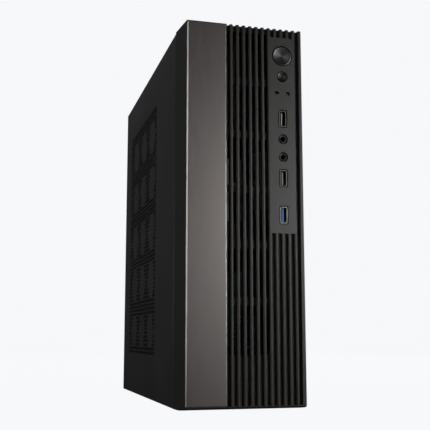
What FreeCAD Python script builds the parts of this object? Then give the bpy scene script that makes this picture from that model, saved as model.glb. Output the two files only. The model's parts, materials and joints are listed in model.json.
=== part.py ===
"""Slim desktop computer tower: a steel case with a ribbed front bezel and its working parts.

Every sub-part is drawn in the case's own coordinates: X runs right from the left cover, Y runs back
from the front of the metal strip and Z runs up from the underside of the steel base. The last step of
each sub-part moves it so that the origin is at the middle of the footprint, on the surface under the
feet. Sizes are in millimetres.
"""

import FreeCAD, Part
import math
import os

import Sketcher

V = FreeCAD.Vector
doc = FreeCAD.newDocument("computer_tower")

# ---------------------------------------------------------------- driving dimensions

DIMENSIONS = {
    "case_width": 104,
    "case_height": 310,
    "case_depth": 292,
    "head_stand": 5,
    "steel": 0.8,
    "gap": 0.3,
    "seam": 30,
    "cover_front": 31.2,
    "rear_face": 290.9,
    "foot_drop": 1.6,
    "foot_radius": 7,
    "bezel_rise": 1.2,
    "bezel_taper": 2.9,
    "bezel_face": 0.6,
    "bezel_front_wall": 5,
    "bezel_side_wall": 5,
    "bezel_lid": 2.4,
    "bezel_chin": 1.6,
    "strip_width": 32.8,
    "strip_low": 3.9,
    "strip_high": 310.3,
    "strip_thick": 1.5,
    "rib_pitch": 5.4,
    "first_slot": 37.6,
    "slot_width": 2.4,
    "slot_deep": 3,
    "rib_round": 1.1,
    "slot_low": 5,
    "window_left": 36,
    "window_right": 71.4,
    "window_low": 42,
    "window_tall": 39,
    "window_pitch": 45,
    "panel_low": 138.6,
    "panel_high": 303.6,
    "port_x": 84.2,
    "power_z": 287.9,
    "power_hole": 8.75,
    "power_radius": 8.15,
    "power_travel": 1.5,
    "reset_z": 270,
    "reset_hole": 4.7,
    "reset_radius": 4.3,
    "reset_travel": 1,
    "stem_end": 15.2,
    "light_z": 255.6,
    "light_spread": 4.85,
    "light_radius": 1.5,
    "usb_top_z": 234,
    "jack_top_z": 216.7,
    "jack_low_z": 201.7,
    "usb_mid_z": 184,
    "usb_low_z": 153.6,
    "usb_wide": 6.4,
    "usb_tall": 13.8,
    "usb_wall": 0.4,
    "jack_nose": 3.1,
    "jack_bore": 1.8,
    "jack_deep": 14,
    "dish_radius": 4,
    "dish_tall": 16.2,
    "dish_deep": 0.8,
    "port_front": 0.9,
    "io_board_x": 87.8,
    "board_thick": 1.6,
    "vent_low": 41.3,
    "vent_pitch": 4.33,
    "vent_flat": 3.3,
    "screw_x": 6.5,
    "screw_low_z": 68,
    "screw_high_z": 239,
    "screw_head": 5.5,
    "screw_shank": 1.6,
    "screw_hole": 1.95,
    "board_x": 95.3,
    "board_front": 63,
    "board_back": 288,
    "board_low": 14,
    "board_high": 258,
    "shield_left": 53.05,
    "shield_wide": 44.45,
    "shield_low": 95.8,
    "shield_tall": 158.75,
    "slot_z": 24,
    "card_pitch": 20.32,
    "supply_x": 11,
    "supply_y": 140.1,
    "supply_z": 266.6,
    "supply_wide": 81.5,
    "supply_long": 150,
    "supply_tall": 40.5,
    "fan40_x": 33,
    "inlet_x": 66,
    "switch_x": 84.6,
    "supply_mid_z": 286.8,
    "supply_lead_x": 50,
    "supply_lead_z": 300.6,
    "cooler_y": 190,
    "cooler_z": 186,
    "cooler_wide": 80,
}

sheet = doc.addObject("Spreadsheet::Sheet", "dims")
for row, (alias, value) in enumerate(DIMENSIONS.items(), start=1):
    sheet.set(f"A{row}", alias)
    sheet.set(f"B{row}", str(value))
    sheet.setAlias(f"B{row}", alias)
doc.recompute()

sub_parts = []


# ---------------------------------------------------------------- helpers


def size(alias):
    """The value of one driving dimension."""
    return float(sheet.get(alias))


def formula(value):
    """A number or a formula on the sheet's names, as an expression; names are written as @name."""
    return str(value).replace("@", "dims.")


def move(thing, corner):
    """Bind a thing's place to three formulas."""
    for axis, value in zip("xyz", corner):
        thing.setExpression(f"Placement.Base.{axis}", formula(value))


def block(corner, sizes):
    """A box from its low corner."""
    box = doc.addObject("Part::Box", "block")
    for prop, value in zip(("Length", "Width", "Height"), sizes):
        box.setExpression(prop, formula(value))
    move(box, corner)
    return box


TURNS = {
    "x": FreeCAD.Rotation(V(0, 1, 0), 90),
    "y": FreeCAD.Rotation(V(1, 0, 0), -90),
    "z": FreeCAD.Rotation(),
}


def rod(start, radius, length, axis="y"):
    """A cylinder that starts at a point and runs along an axis."""
    cylinder = doc.addObject("Part::Cylinder", "rod")
    cylinder.Placement = FreeCAD.Placement(V(), TURNS[axis])
    cylinder.setExpression("Radius", formula(radius))
    cylinder.setExpression("Height", formula(length))
    move(cylinder, start)
    return cylinder


def prism(start, radius, length, axis="y", sides=6):
    """A regular prism that starts at a point and runs along an axis."""
    solid = doc.addObject("Part::Prism", "prism")
    solid.Polygon = sides
    solid.Placement = FreeCAD.Placement(V(), TURNS[axis])
    solid.setExpression("Circumradius", formula(radius))
    solid.setExpression("Height", formula(length))
    move(solid, start)
    return solid


def join(things):
    """Several shapes made one solid."""
    fused = doc.addObject("Part::MultiFuse", "joined")
    fused.Shapes = things
    return fused


def cut(base, tools):
    """A shape with tools taken out of it."""
    result = doc.addObject("Part::Cut", "cut")
    result.Base = base
    result.Tool = tools[0] if len(tools) == 1 else join(tools)
    return result


def group(things):
    """Separate solids kept as one sub-part."""
    compound = doc.addObject("Part::Compound", "group")
    compound.Links = things
    return compound


def finish(label, thing):
    """Name a sub-part and move it from the case's coordinates to the object's frame."""
    thing.Label = label
    move(thing, ("-@case_width / 2", "-(@case_depth + @head_stand) / 2", "@foot_drop"))
    sub_parts.append(thing)
    return thing


def new_body(label):
    """An empty body."""
    return doc.addObject("PartDesign::Body", f"body_{label}")


def new_sketch(body, role, offset=(0, 0, 0)):
    """A sketch on one of a body's origin planes, shifted in the sketch's own axes."""
    sketch = body.newObject("Sketcher::SketchObject", "sketch")
    plane = next(item for item in body.Origin.OriginFeatures if item.Role == role)
    sketch.AttachmentSupport = [(plane, "")]
    sketch.MapMode = "FlatFace"
    for axis, value in zip("xyz", offset):
        sketch.setExpression(f"AttachmentOffset.Base.{axis}", formula(value))
    return sketch


def pin_point(sketch, geometry, end, x, y):
    """Fix one point of a sketch with two formulas."""
    for kind, value in (("DistanceX", x), ("DistanceY", y)):
        number = sketch.addConstraint(Sketcher.Constraint(kind, -1, 1, geometry, end, 1.0))
        name = f"size{number}"
        sketch.renameConstraint(number, name)
        sketch.setExpression(f"Constraints.{name}", formula(value))


def guess(value):
    """The present value of a formula, to draw a sketch near its final shape."""
    return float(sheet.evalExpression(formula(value)))


def outline(sketch, points):
    """A closed outline of straight lines through points given as formulas."""
    first = sketch.GeometryCount
    spots = [V(guess(x), guess(y), 0) for x, y in points]
    count = len(points)
    for index in range(count):
        sketch.addGeometry(Part.LineSegment(spots[index], spots[(index + 1) % count]))
    for index in range(count):
        following = first + (index + 1) % count
        sketch.addConstraint(Sketcher.Constraint("Coincident", first + index, 2, following, 1))
    for index, (x, y) in enumerate(points):
        pin_point(sketch, first + index, 1, x, y)


def rectangle(sketch, left, low, right, high):
    """A rectangle in a sketch."""
    outline(sketch, [(left, low), (right, low), (right, high), (left, high)])


def circle(sketch, x, y, radius):
    """A circle in a sketch."""
    number = sketch.addGeometry(Part.Circle(V(guess(x), guess(y), 0), V(0, 0, 1), guess(radius)))
    pin_point(sketch, number, 3, x, y)
    constraint = sketch.addConstraint(Sketcher.Constraint("Radius", number, guess(radius)))
    name = f"size{constraint}"
    sketch.renameConstraint(constraint, name)
    sketch.setExpression(f"Constraints.{name}", formula(radius))


def pad(body, sketch, length, reverse=False):
    """Material added from a sketch."""
    feature = body.newObject("PartDesign::Pad", "pad")
    feature.Profile = sketch
    feature.setExpression("Length", formula(length))
    feature.Reversed = reverse
    sketch.Visibility = False
    return feature


def pocket(body, sketch, length, reverse=False):
    """Material taken out from a sketch; stops if nothing was cut."""
    doc.recompute()
    before = body.Shape.Volume
    feature = body.newObject("PartDesign::Pocket", "pocket")
    feature.Profile = sketch
    feature.setExpression("Length", formula(length))
    feature.Reversed = reverse
    doc.recompute()
    if body.Shape.Volume > before - 1e-3:
        raise RuntimeError(f"{body.Name}: {feature.Name} cuts nothing")
    return feature


def repeat(body, feature, role, count, step):
    """Copies of a feature along one of the body's axes."""
    pattern = body.newObject("PartDesign::LinearPattern", "pattern")
    pattern.Originals = [feature]
    axis = next(item for item in body.Origin.OriginFeatures if item.Role == role)
    pattern.Direction = (axis, [""])
    pattern.setExpression("Length", formula(f"{count - 1} * {step}"))
    pattern.Occurrences = count
    body.Tip = pattern
    return pattern


def turned(label, x, z, profile):
    """A body turned about a line along Y, from points of radius and depth."""
    body = new_body(label)
    sketch = new_sketch(body, "XY_Plane", (x, 0, z))
    outline(sketch, profile)
    feature = body.newObject("PartDesign::Revolution", "revolution")
    feature.Profile = sketch
    feature.ReferenceAxis = (sketch, ["V_Axis"])
    feature.Angle = 360
    return body


def plate(label, role, offset, corners, thick, reverse=False):
    """A flat board or sheet as a body: corners are left, low, right and high."""
    body = new_body(label)
    sketch = new_sketch(body, role, offset)
    rectangle(sketch, *corners)
    pad(body, sketch, thick, reverse)
    return body


# ---------------------------------------------------------------- front bezel


def rib_channel(body, index, low, high, count):
    """One or more of the bezel's grooves, with rounded ribs either side, between two heights."""
    sketch = new_sketch(body, "XY_Plane", (f"@first_slot + {index} * @rib_pitch", "@bezel_face", high))
    half = "@slot_width / 2"
    mouth = "@slot_width / 2 + @rib_round"
    radius = size("rib_round")
    wide = size("slot_width") / 2
    deep = size("slot_deep")
    corners = [
        (-wide - radius, 0),
        (-wide, radius),
        (-wide, deep),
        (wide, deep),
        (wide, radius),
        (wide + radius, 0),
    ]
    spots = [V(x, y, 0) for x, y in corners]
    diagonal = radius * math.sqrt(0.5)
    left_middle = V(-wide - radius + diagonal, radius - diagonal, 0)
    right_middle = V(wide + radius - diagonal, radius - diagonal, 0)
    edges = [
        Part.Arc(spots[0], left_middle, spots[1]),
        Part.LineSegment(spots[1], spots[2]),
        Part.LineSegment(spots[2], spots[3]),
        Part.LineSegment(spots[3], spots[4]),
        Part.Arc(spots[4], right_middle, spots[5]),
        Part.LineSegment(spots[5], spots[0]),
    ]
    for edge in edges:
        sketch.addGeometry(edge)
    pin_point(sketch, 1, 1, f"-({half})", "@rib_round")
    pin_point(sketch, 1, 2, f"-({half})", "@slot_deep")
    pin_point(sketch, 3, 1, half, "@slot_deep")
    pin_point(sketch, 3, 2, half, "@rib_round")
    pin_point(sketch, 5, 1, mouth, 0)
    pin_point(sketch, 5, 2, f"-({mouth})", 0)
    feature = pocket(body, sketch, f"({high}) - ({low})")
    if count > 1:
        repeat(body, feature, "X_Axis", count, "@rib_pitch")


def make_front_bezel():
    """The moulded front: ribs and grooves, a flat panel for the ports, a seat for the metal strip."""
    body = new_body("front_bezel")
    top = "@case_height + @bezel_rise"
    plan = new_sketch(body, "XY_Plane")
    right = "@case_width - @bezel_taper"
    corners = [(0, "@seam"), ("@bezel_taper", "@bezel_face"), (right, "@bezel_face"),
               ("@case_width", "@seam")]
    outline(plan, corners)
    pad(body, plan, top)
    chin = new_sketch(body, "YZ_Plane")
    outline(chin, [("@bezel_face", "@bezel_chin"), ("@bezel_face", 0), ("@seam / 2", 0)])
    pocket(body, chin, "@case_width", True)
    hollow = new_sketch(body, "XZ_Plane", (0, 0, "-@seam"))
    rectangle(hollow, "@bezel_side_wall", "@bezel_lid", "@case_width - @bezel_side_wall", "@case_height - 1")
    pocket(body, hollow, "@seam - @bezel_face - @bezel_front_wall", True)
    rib_channel(body, 0, "@slot_low", top, 7)
    rib_channel(body, 11, "@slot_low", top, 1)
    rib_channel(body, 7, "@slot_low", "@panel_low", 4)
    rib_channel(body, 7, "@panel_high", top, 4)
    window = new_sketch(body, "XZ_Plane", (0, 0, "-(@bezel_face + @bezel_front_wall)"))
    rectangle(window, "@window_left", "@window_low", "@window_right", "@window_low + @window_tall")
    cut_back = pocket(body, window, "@bezel_front_wall - @slot_deep", True)
    repeat(body, cut_back, "Z_Axis", 6, "@window_pitch")
    seat = new_sketch(body, "XZ_Plane", (0, 0, "-@bezel_face"))
    rectangle(seat, -1, "@strip_low", "@bezel_taper + @strip_width + 0.1", "@strip_high")
    pocket(body, seat, "@strip_thick - @bezel_face")
    holes = new_sketch(body, "XZ_Plane", (0, 0, "-@bezel_face"))
    circle(holes, "@port_x", "@power_z", "@power_hole")
    circle(holes, "@port_x", "@reset_z", "@reset_hole")
    circle(holes, "@port_x - @light_spread", "@light_z", "@light_radius + 0.1")
    circle(holes, "@port_x + @light_spread", "@light_z", "@light_radius + 0.1")
    for jack in ("@jack_top_z", "@jack_low_z"):
        circle(holes, "@port_x", jack, "@jack_nose + 0.15")
    for usb in ("@usb_top_z", "@usb_mid_z", "@usb_low_z"):
        wide = "@usb_wide / 2 + 0.2"
        tall = "@usb_tall / 2 + 0.2"
        rectangle(holes, f"@port_x - {wide.replace('+', '-')}", f"{usb} - {tall.replace('+', '-')}",
                  f"@port_x + {wide}", f"{usb} + {tall}")
    pocket(body, holes, "@bezel_front_wall")
    dishes = new_sketch(body, "XZ_Plane", (0, 0, "-@bezel_face"))
    for jack in ("@jack_top_z", "@jack_low_z"):
        circle(dishes, "@port_x", jack, "@dish_radius")
    for usb in ("@usb_top_z", "@usb_mid_z", "@usb_low_z"):
        rectangle(dishes, "@port_x - @dish_radius", f"{usb} - @dish_tall / 2",
                  "@port_x + @dish_radius", f"{usb} + @dish_tall / 2")
    pocket(body, dishes, "@dish_deep")
    finish("front_bezel", body)


def make_metal_strip():
    """The polished-edge metal strip on the bezel's left."""
    body = new_body("metal_strip")
    plan = new_sketch(body, "XY_Plane", ("@bezel_taper", 0, "@strip_low"))
    bevel = 0.8
    outline(plan, [
        (0, bevel),
        (bevel, 0),
        ("@strip_width - 0.4", 0),
        ("@strip_width", 0.4),
        ("@strip_width", "@strip_thick"),
        (0, "@strip_thick"),
    ])
    pad(body, plan, "@strip_high - @strip_low")
    finish("metal_strip", body)


def make_buttons():
    """The power and reset buttons: dished caps with stems that push the switches."""
    power = [(0, 1.0), (7.3, 0.5), (7.9, 0.6), ("@power_radius", 0.9), ("@power_radius", 6),
             (3, 6), (3, "@stem_end"), (0, "@stem_end")]
    finish("power_button", turned("power_button", "@port_x", "@power_z", power))
    reset = [(0, 0.6), (3.9, 0.5), ("@reset_radius", 0.9), ("@reset_radius", 6),
             (1.8, 6), (1.8, "@stem_end"), (0, "@stem_end")]
    finish("reset_button", turned("reset_button", "@port_x", "@reset_z", reset))
    for label, z, travel in (("power_switch", "@power_z", "@power_travel"),
                             ("reset_switch", "@reset_z", "@reset_travel")):
        start = f"@stem_end + {travel} + @gap"
        plunger = rod(("@port_x", start, z), 1.7, 1.5)
        housing = block(("@port_x - 3", f"{start} + 1.5", f"{z} - 3"),
                        ("@io_board_x - @port_x + 3", 3.5, 6))
        finish(label, join([plunger, housing]))


def make_lights():
    """Two light pipes and the lamps behind them."""
    for label, x in (("power_light", "@port_x - @light_spread"), ("drive_light", "@port_x + @light_spread")):
        profile = [(0, 0.4), (1.1, 0.5), ("@light_radius", 0.9), ("@light_radius", 5.8), (2.4, 5.8), (2.4, 7),
                   ("@light_radius", 7), ("@light_radius", 7.6), (0, 7.6)]
        finish(label, turned(label, x, "@light_z", profile))


def make_front_ports():
    """Three upright USB sockets and two audio jacks, on the board behind the bezel."""
    for label, z in (("upper_usb", "@usb_top_z"), ("middle_usb", "@usb_mid_z"), ("fast_usb", "@usb_low_z")):
        left = "@port_x - @usb_wide / 2"
        low = f"{z} - @usb_tall / 2"
        tube = block((left, "@port_front", low), ("@usb_wide", 14, "@usb_tall"))
        inner = block((f"{left} + @usb_wall", 0, f"{low} + @usb_wall"),
                      ("@usb_wide - 2 * @usb_wall", 20, "@usb_tall - 2 * @usb_wall"))
        finish(f"{label}_shell", cut(tube, [inner]))
        back = block((f"{left} + @usb_wall", 12, f"{low} + @usb_wall"),
                     ("@usb_wide - 2 * @usb_wall", 2.9, "@usb_tall - 2 * @usb_wall"))
        tongue = block((f"{left} + @usb_wall + 1.5", 2.4, f"{z} - 5.6"), (1.9, 10, 11.2))
        finish(f"{label}_tongue", join([back, tongue]))
    for label, z in (("upper_audio_jack", "@jack_top_z"), ("lower_audio_jack", "@jack_low_z")):
        nose = rod(("@port_x", "@port_front", z), "@jack_nose", 6)
        housing = block(("@port_x - 3.5", 6, f"{z} - 4"), ("@io_board_x - @port_x + 3.5", 10, 8))
        bore = rod(("@port_x", 0, z), "@jack_bore", "@port_front + @jack_deep")
        finish(label, cut(join([nose, housing]), [bore]))
    board = plate("front_io_board", "YZ_Plane", (0, 0, "@io_board_x"), (8, 145, 28, 296), "@board_thick")
    finish("front_io_board", board)


# ---------------------------------------------------------------- steel case


def make_case_plates():
    """Base, top, right side, front frame and rear panel of the folded steel case."""
    wall = "@case_width - @steel"
    left = "@steel + @gap"
    deep = "@rear_face - @seam"
    for label, z, lip in (("base_panel", 0, "@steel"), ("top_panel", "@case_height - @steel",
                                                        "@case_height - @steel - 8")):
        sheet_plate = block((left, "@seam", z), (f"{wall} - ({left})", deep, "@steel"))
        flange = block((left, "@seam + 2", lip), ("@steel", f"{deep} - 2 - @steel", 8))
        finish(label, join([sheet_plate, flange]))
    right = plate("right_side_panel", "YZ_Plane", (0, 0, wall),
                  ("@seam", 0, "@rear_face", "@case_height"), "@steel")
    finish("right_side_panel", right)
    frame = plate("front_frame", "XZ_Plane", (0, 0, "-@seam"),
                  (left, "@steel", wall, "@case_height - @steel"),
                  "@steel", True)
    openings = new_sketch(frame, "XZ_Plane", (0, 0, "-@seam"))
    rectangle(openings, 74, 140, 98, 300)
    rectangle(openings, 20, 150, 70, 240)
    rectangle(openings, 20, 30, 70, 130)
    pocket(frame, openings, "@steel")
    finish("front_frame", frame)


def make_rear_panel():
    """The rear wall, open for the power supply, the board's ports and the card slots."""
    body = plate("rear_panel", "XZ_Plane", (0, 0, "-(@rear_face - @steel)"),
                 ("@steel + @gap", "@steel", "@case_width - @steel", "@case_height - @steel"), "@steel", True)
    openings = new_sketch(body, "XZ_Plane", (0, 0, "-(@rear_face - @steel)"))
    rectangle(openings, "@supply_x + 3", "@supply_z + 2", "@supply_x + @supply_wide - 2",
              "@supply_z + @supply_tall - 2")
    rectangle(openings, "@shield_left", "@shield_low",
              "@shield_left + @shield_wide", "@shield_low + @shield_tall")
    for screw in ("@screw_low_z", "@screw_high_z"):
        circle(openings, "@screw_x", screw, "@screw_hole")
    for index in range(4):
        low = f"@slot_z + {index} * @card_pitch - 6"
        rectangle(openings, 20, low, 96, f"{low} + 12")
    pocket(body, openings, "@steel")
    finish("rear_panel", body)


def make_slot_covers():
    """Blank covers over the four card slots, and the screws that hold them."""
    covers = []
    screws = []
    for index in range(4):
        z = f"@slot_z + {index} * @card_pitch"
        sheet_plate = block((15, "@rear_face - 2 * @steel", f"{z} - 9.2"), (84, "@steel", 18.4))
        covers.append(sheet_plate)
        head = rod((17.4, "@rear_face", z), 2.6, 1.4)
        drive = block((16.4, "@rear_face + 0.8", f"{z} - 0.4"), (2, 1, 0.8))
        screws.append(cut(head, [drive]))
    finish("slot_covers", group(covers))
    finish("slot_screws", group(screws))


def make_side_cover():
    """The left cover: a steel sheet with a honeycomb vent field, and its front and rear flanges."""
    low = 0.0
    front = size("cover_front")
    back = size("case_depth")
    high = size("case_height")
    corners = [V(0, front, low), V(0, back, low), V(0, back, high), V(0, front, high), V(0, front, low)]
    wires = [Part.makePolygon(corners)]
    pitch = size("vent_pitch")
    row_step = pitch * math.sqrt(0.75)
    columns = 33
    rows = 62
    first_y = 114.0
    corner_radius = size("vent_flat") / math.sqrt(3)
    for row in range(rows):
        z = size("vent_low") + row * row_step
        shift = pitch / 2 if row % 2 else 0.0
        for column in range(columns):
            y = first_y + shift + column * pitch
            if is_island(y, z):
                continue
            spots = [
                V(0, y + corner_radius * math.sin(math.radians(60 * step)),
                  z + corner_radius * math.cos(math.radians(60 * step)))
                for step in range(6)
            ]
            wires.append(Part.makePolygon(spots + [spots[0]]))
    face = Part.Face(wires)
    sheet_plate = doc.addObject("Part::Feature", "vented_sheet")
    sheet_plate.Shape = face.extrude(V(size("steel"), 0, 0))
    finish("left_side_panel", sheet_plate)
    front_fold = block(("@steel", "@cover_front", 12), (5, "@steel", "@case_height - 24"))
    front_leg = block(("@steel", "@cover_front", 12), ("@steel", 9, "@case_height - 24"))
    rear_fold = block(("@steel", "@case_depth - @steel", 2), (12, "@steel", "@case_height - 4"))
    holes = [rod(("@screw_x", "@rear_face - 5", z), "@screw_hole", 10)
             for z in ("@screw_low_z", "@screw_high_z")]
    finish("side_panel_flanges", group([join([front_fold, front_leg]), cut(rear_fold, holes)]))


def is_island(y, z):
    """Whether a vent position falls on one of the solid diamonds that stiffen the vent field."""
    across = 44.5
    up = 45.6
    first_y = 135.0
    first_z = 63.0
    half_wide = 16.0
    half_tall = 15.5
    column = round((y - first_y) / across)
    line = round((z - first_z) / up)
    if not (0 <= column <= 2 and 0 <= line <= 4):
        return False
    off_y = abs(y - first_y - column * across)
    off_z = abs(z - first_z - line * up)
    corner = 0.45
    return off_z < half_tall and off_y < half_wide * (1 - corner * off_z / half_tall)


def make_thumbscrews():
    """Two knurled screws that hold the left cover from behind."""
    start = "@case_depth + 0.1"
    notch = 0.35
    for label, z in (("lower_thumbscrew", "@screw_low_z"), ("upper_thumbscrew", "@screw_high_z")):
        flange = rod(("@screw_x", start, z), "@screw_head - 1", 0.9)
        head = rod(("@screw_x", f"{start} + 0.9", z), "@screw_head", "@head_stand - 1")
        shank = rod(("@screw_x", f"{start} - 8", z), "@screw_shank", 8)
        cuts = []
        count = 18
        for index in range(count):
            angle = 2 * math.pi * index / count
            x = f"@screw_x + @screw_head * {math.cos(angle):.6f}"
            height = f"{z} + @screw_head * {math.sin(angle):.6f}"
            cuts.append(rod((x, f"{start} + 0.9", height), notch, "@head_stand"))
        drive = block(("@screw_x - 3", "@case_depth + @head_stand - 1.2", f"{z} - 0.5"), (6, 2, 1))
        finish(label, cut(join([flange, head, shank]), cuts + [drive]))


def make_feet():
    """Four thin rubber pads under the base."""
    pads = []
    for x in (22, 82):
        for y in (66, 262):
            pads.append(rod((x, y, "-@foot_drop"), "@foot_radius", "@foot_drop", "z"))
    finish("rubber_feet", group(pads))


# ---------------------------------------------------------------- power supply


def fan_rotor(label, centre, axis, hub, tip, depth, blades):
    """A fan's hub and blades; the centre is where the hub starts along its axis."""
    solid = [rod(centre, hub, depth, axis)]
    length = tip - hub + 1.5
    chord = 2 * math.pi * hub / blades * 1.05
    pitch = 38
    turn = TURNS[axis]
    here = V(guess(centre[0]), guess(centre[1]), guess(centre[2]))
    middle = turn.multVec(V(0, 0, depth / 2)) + here
    for index in range(blades):
        blade = doc.addObject("Part::Box", "blade")
        blade.Length = length
        blade.Width = chord
        blade.Height = 1
        spin = FreeCAD.Rotation(V(0, 0, 1), 360 * index / blades)
        twist = FreeCAD.Rotation(V(1, 0, 0), pitch)
        rotation = turn.multiply(spin).multiply(twist)
        corner = V(hub - 1.5, -chord / 2, -0.5)
        blade.Placement = FreeCAD.Placement(middle + rotation.multVec(corner), rotation)
        solid.append(blade)
    finish(label, join(solid))


def make_power_supply():
    """The power supply: a steel box with its fan, guard, mains inlet and rocker switch."""
    x, y, z = "@supply_x", "@supply_y", "@supply_z"
    make_supply_case(x, y, z)
    rim = block(("@fan40_x - 20", "@rear_face - 21.6", "@supply_mid_z - 19"), (40, 20, 38))
    throat = rod(("@fan40_x", "@rear_face - 23", "@supply_mid_z"), 18.3, 22)
    spokes = [block(("@fan40_x - 19", "@rear_face - 21.5", "@supply_mid_z - 1"), (38, 1.6, 2)),
              block(("@fan40_x - 1", "@rear_face - 21.5", "@supply_mid_z - 18.5"), (2, 1.6, 37)),
              rod(("@fan40_x", "@rear_face - 21.5", "@supply_mid_z"), 9, 1.6)]
    finish("supply_fan_frame", join([cut(rim, [throat]), join(spokes)]))
    fan_rotor("supply_fan_rotor", ("@fan40_x", "@rear_face - 19.5", "@supply_mid_z"), "y", 9.5, 17.6, 14, 7)
    make_fan_guard()
    socket = block(("@inlet_x - 10", "@rear_face - 17", "@supply_mid_z - 14"), (20, 17.4, 28))
    cavity = block(("@inlet_x - 8.2", "@rear_face - 15", "@supply_mid_z - 12.2"), (16.4, 20, 24.4))
    finish("mains_inlet", cut(socket, [cavity]))
    blades = []
    for left, offset in ((-4, 7), (-4, -7), (0, 0)):
        low = f"@supply_mid_z + {offset} - 1"
        blades.append(block((f"@inlet_x + {left}", "@rear_face - 15", low), (4, 13, 2)))
    finish("mains_pins", group(blades))
    bezel = block(("@switch_x - 5.5", "@rear_face - 12", "@supply_mid_z - 9.5"), (11, 12.4, 19))
    well = block(("@switch_x - 4.4", "@rear_face - 9", "@supply_mid_z - 8.4"), (8.8, 20, 16.8))
    pin = rod(("@switch_x - 4.6", "@rear_face - 3", "@supply_mid_z"), 0.5, 9.2, "x")
    finish("mains_switch_frame", join([cut(bezel, [well]), pin]))
    tilt = FreeCAD.Rotation(V(1, 0, 0), 7)
    rocker = new_body("mains_switch_rocker")
    side = new_sketch(rocker, "YZ_Plane", (0, 0, -4.1))
    outline(side, [(-3.4, -4), (1.2, -7.6), (2.2, -7.2), (1.3, 0), (2.2, 7.2), (1.2, 7.6), (-3.4, 4)])
    circle(side, 0, 0, 0.7)
    pad(rocker, side, 8.2)
    placed = doc.addObject("Part::Compound", "rocker_tilt")
    placed.Links = [rocker]
    pivot = V(guess("@switch_x"), guess("@rear_face") - 3, guess("@supply_mid_z"))
    placed.Placement = FreeCAD.Placement(pivot, tilt)
    finish("mains_switch_rocker", group([placed]))


def make_supply_case(x, y, z):
    """The supply's case: a floor, a roof, two sides, and front and rear walls with their openings."""
    floor, roof = (block((x, y, height), ("@supply_wide", "@supply_long", "@steel"))
                   for height in (z, f"{z} + @supply_tall - @steel"))
    inner_low = f"{z} + @steel"
    inner_tall = "@supply_tall - 2 * @steel"
    left, right = (block((side, y, inner_low), ("@steel", "@supply_long", inner_tall))
                   for side in (x, f"{x} + @supply_wide - @steel"))
    front, rear = (block((f"{x} + @steel", place, inner_low),
                         ("@supply_wide - 2 * @steel", "@steel", inner_tall))
                   for place in (y, f"{y} + @supply_long - @steel"))
    vents = [block((f"{x} + 8 + {index} * 5.8", f"{y} - 1", f"{z} + 6"), (2.6, 4, 22)) for index in range(12)]
    lead_hole = rod(("@supply_lead_x", f"{y} - 1", "@supply_lead_z"), 4.4, 4)
    behind = "@rear_face - 8"
    openings = [rod(("@fan40_x", behind, "@supply_mid_z"), 18.4, 12),
                block(("@inlet_x - 10.2", behind, "@supply_mid_z - 14.2"), (20.4, 12, 28.4)),
                block(("@switch_x - 5.7", behind, "@supply_mid_z - 9.7"), (11.4, 12, 19.4))]
    walls = [cut(front, vents + [lead_hole]), cut(rear, openings)]
    finish("supply_case", group([floor, roof, left, right] + walls))


def make_fan_guard():
    """The wire guard over the power supply's fan: rings and two crossing wires."""
    rings = []
    wire = 0.5
    for radius in (6, 11, 16):
        ring = doc.addObject("Part::Torus", "ring")
        ring.Placement = FreeCAD.Placement(V(), TURNS["y"])
        ring.Radius1 = radius
        ring.Radius2 = wire
        move(ring, ("@fan40_x", "@rear_face - 0.1", "@supply_mid_z"))
        rings.append(ring)
    bars = [block(("@fan40_x - 18", "@rear_face - 0.5", "@supply_mid_z - 0.5"), (36, 0.8, 1)),
            block(("@fan40_x - 0.5", "@rear_face - 0.5", "@supply_mid_z - 17.2"), (1, 0.8, 34.4))]
    finish("supply_fan_guard", join(rings + bars))


# ---------------------------------------------------------------- board and drive


def make_motherboard():
    """The motherboard on its stand-offs, with its processor, memory and cooler."""
    board = plate("motherboard", "YZ_Plane", (0, 0, "@board_x"),
                  ("@board_front", "@board_low", "@board_back", "@board_high"), "@board_thick")
    finish("motherboard", board)
    stands = []
    screws = []
    for y in (72, 170, 280):
        for z in (22, 136, 250):
            stands.append(prism(("@board_x + @board_thick", y, z), 2.8,
                                "@case_width - @steel - @board_x - @board_thick", "x"))
            head = rod(("@board_x - 1.6", y, z), 2.6, 1.6, "x")
            screws.append(cut(head, [block(("@board_x - 2", y - 1.5, z - 0.3), (1, 3, 0.6))]))
    finish("board_standoffs", group(stands))
    finish("board_screws", group(screws))
    socket = block(("@board_x - 2.4", "@cooler_y - 22", "@cooler_z - 22"), (2.4, 44, 44))
    finish("processor_socket", group([socket]))
    chip = block(("@board_x - 4.4", "@cooler_y - 17", "@cooler_z - 17"), (2, 34, 34))
    lid = block(("@board_x - 5.4", "@cooler_y - 14", "@cooler_z - 14"), (1, 28, 28))
    finish("processor", group([chip, lid]))
    make_cooler()
    slots = [block(("@board_x - 7", y, 112), (7, 6.5, 142)) for y in (113, 123)]
    grooves = [block(("@board_x - 8", y + 2.35, 116), (6.2, 1.8, 134)) for y in (113, 123)]
    finish("memory_slots", group([cut(slot, [groove]) for slot, groove in zip(slots, grooves)]))
    strip = block(("@board_x - 32", 115.5, 116.4), (30, 1.5, 133.2))
    chips = [block(("@board_x - 24", 117, 121 + index * 16), (11, 1, 9)) for index in range(8)]
    finish("memory_module", group([strip] + chips))
    sockets = []
    for index, length in enumerate((22, 89, 22)):
        low = f"@slot_z + {2 - index} * @card_pitch - 3.7"
        solid = block(("@board_x - 11", 262 - length, low), (11, length, 7.4))
        groove = block(("@board_x - 12", 264 - length, f"{low} + 2.8"), (7, length - 4, 1.8))
        sockets.append(cut(solid, [groove]))
    finish("card_slots", group(sockets))
    base = block(("@board_x - 3", 112, 42), (3, 34, 34))
    fins = [block(("@board_x - 12", 112, 42 + index * 4.6), (9, 34, 1.8)) for index in range(8)]
    finish("chipset_cooler", group([base] + fins))
    plug = block(("@board_x - 12", 70, 170), (12, 9.6, 52))
    finish("board_power_socket", group([plug]))


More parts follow.
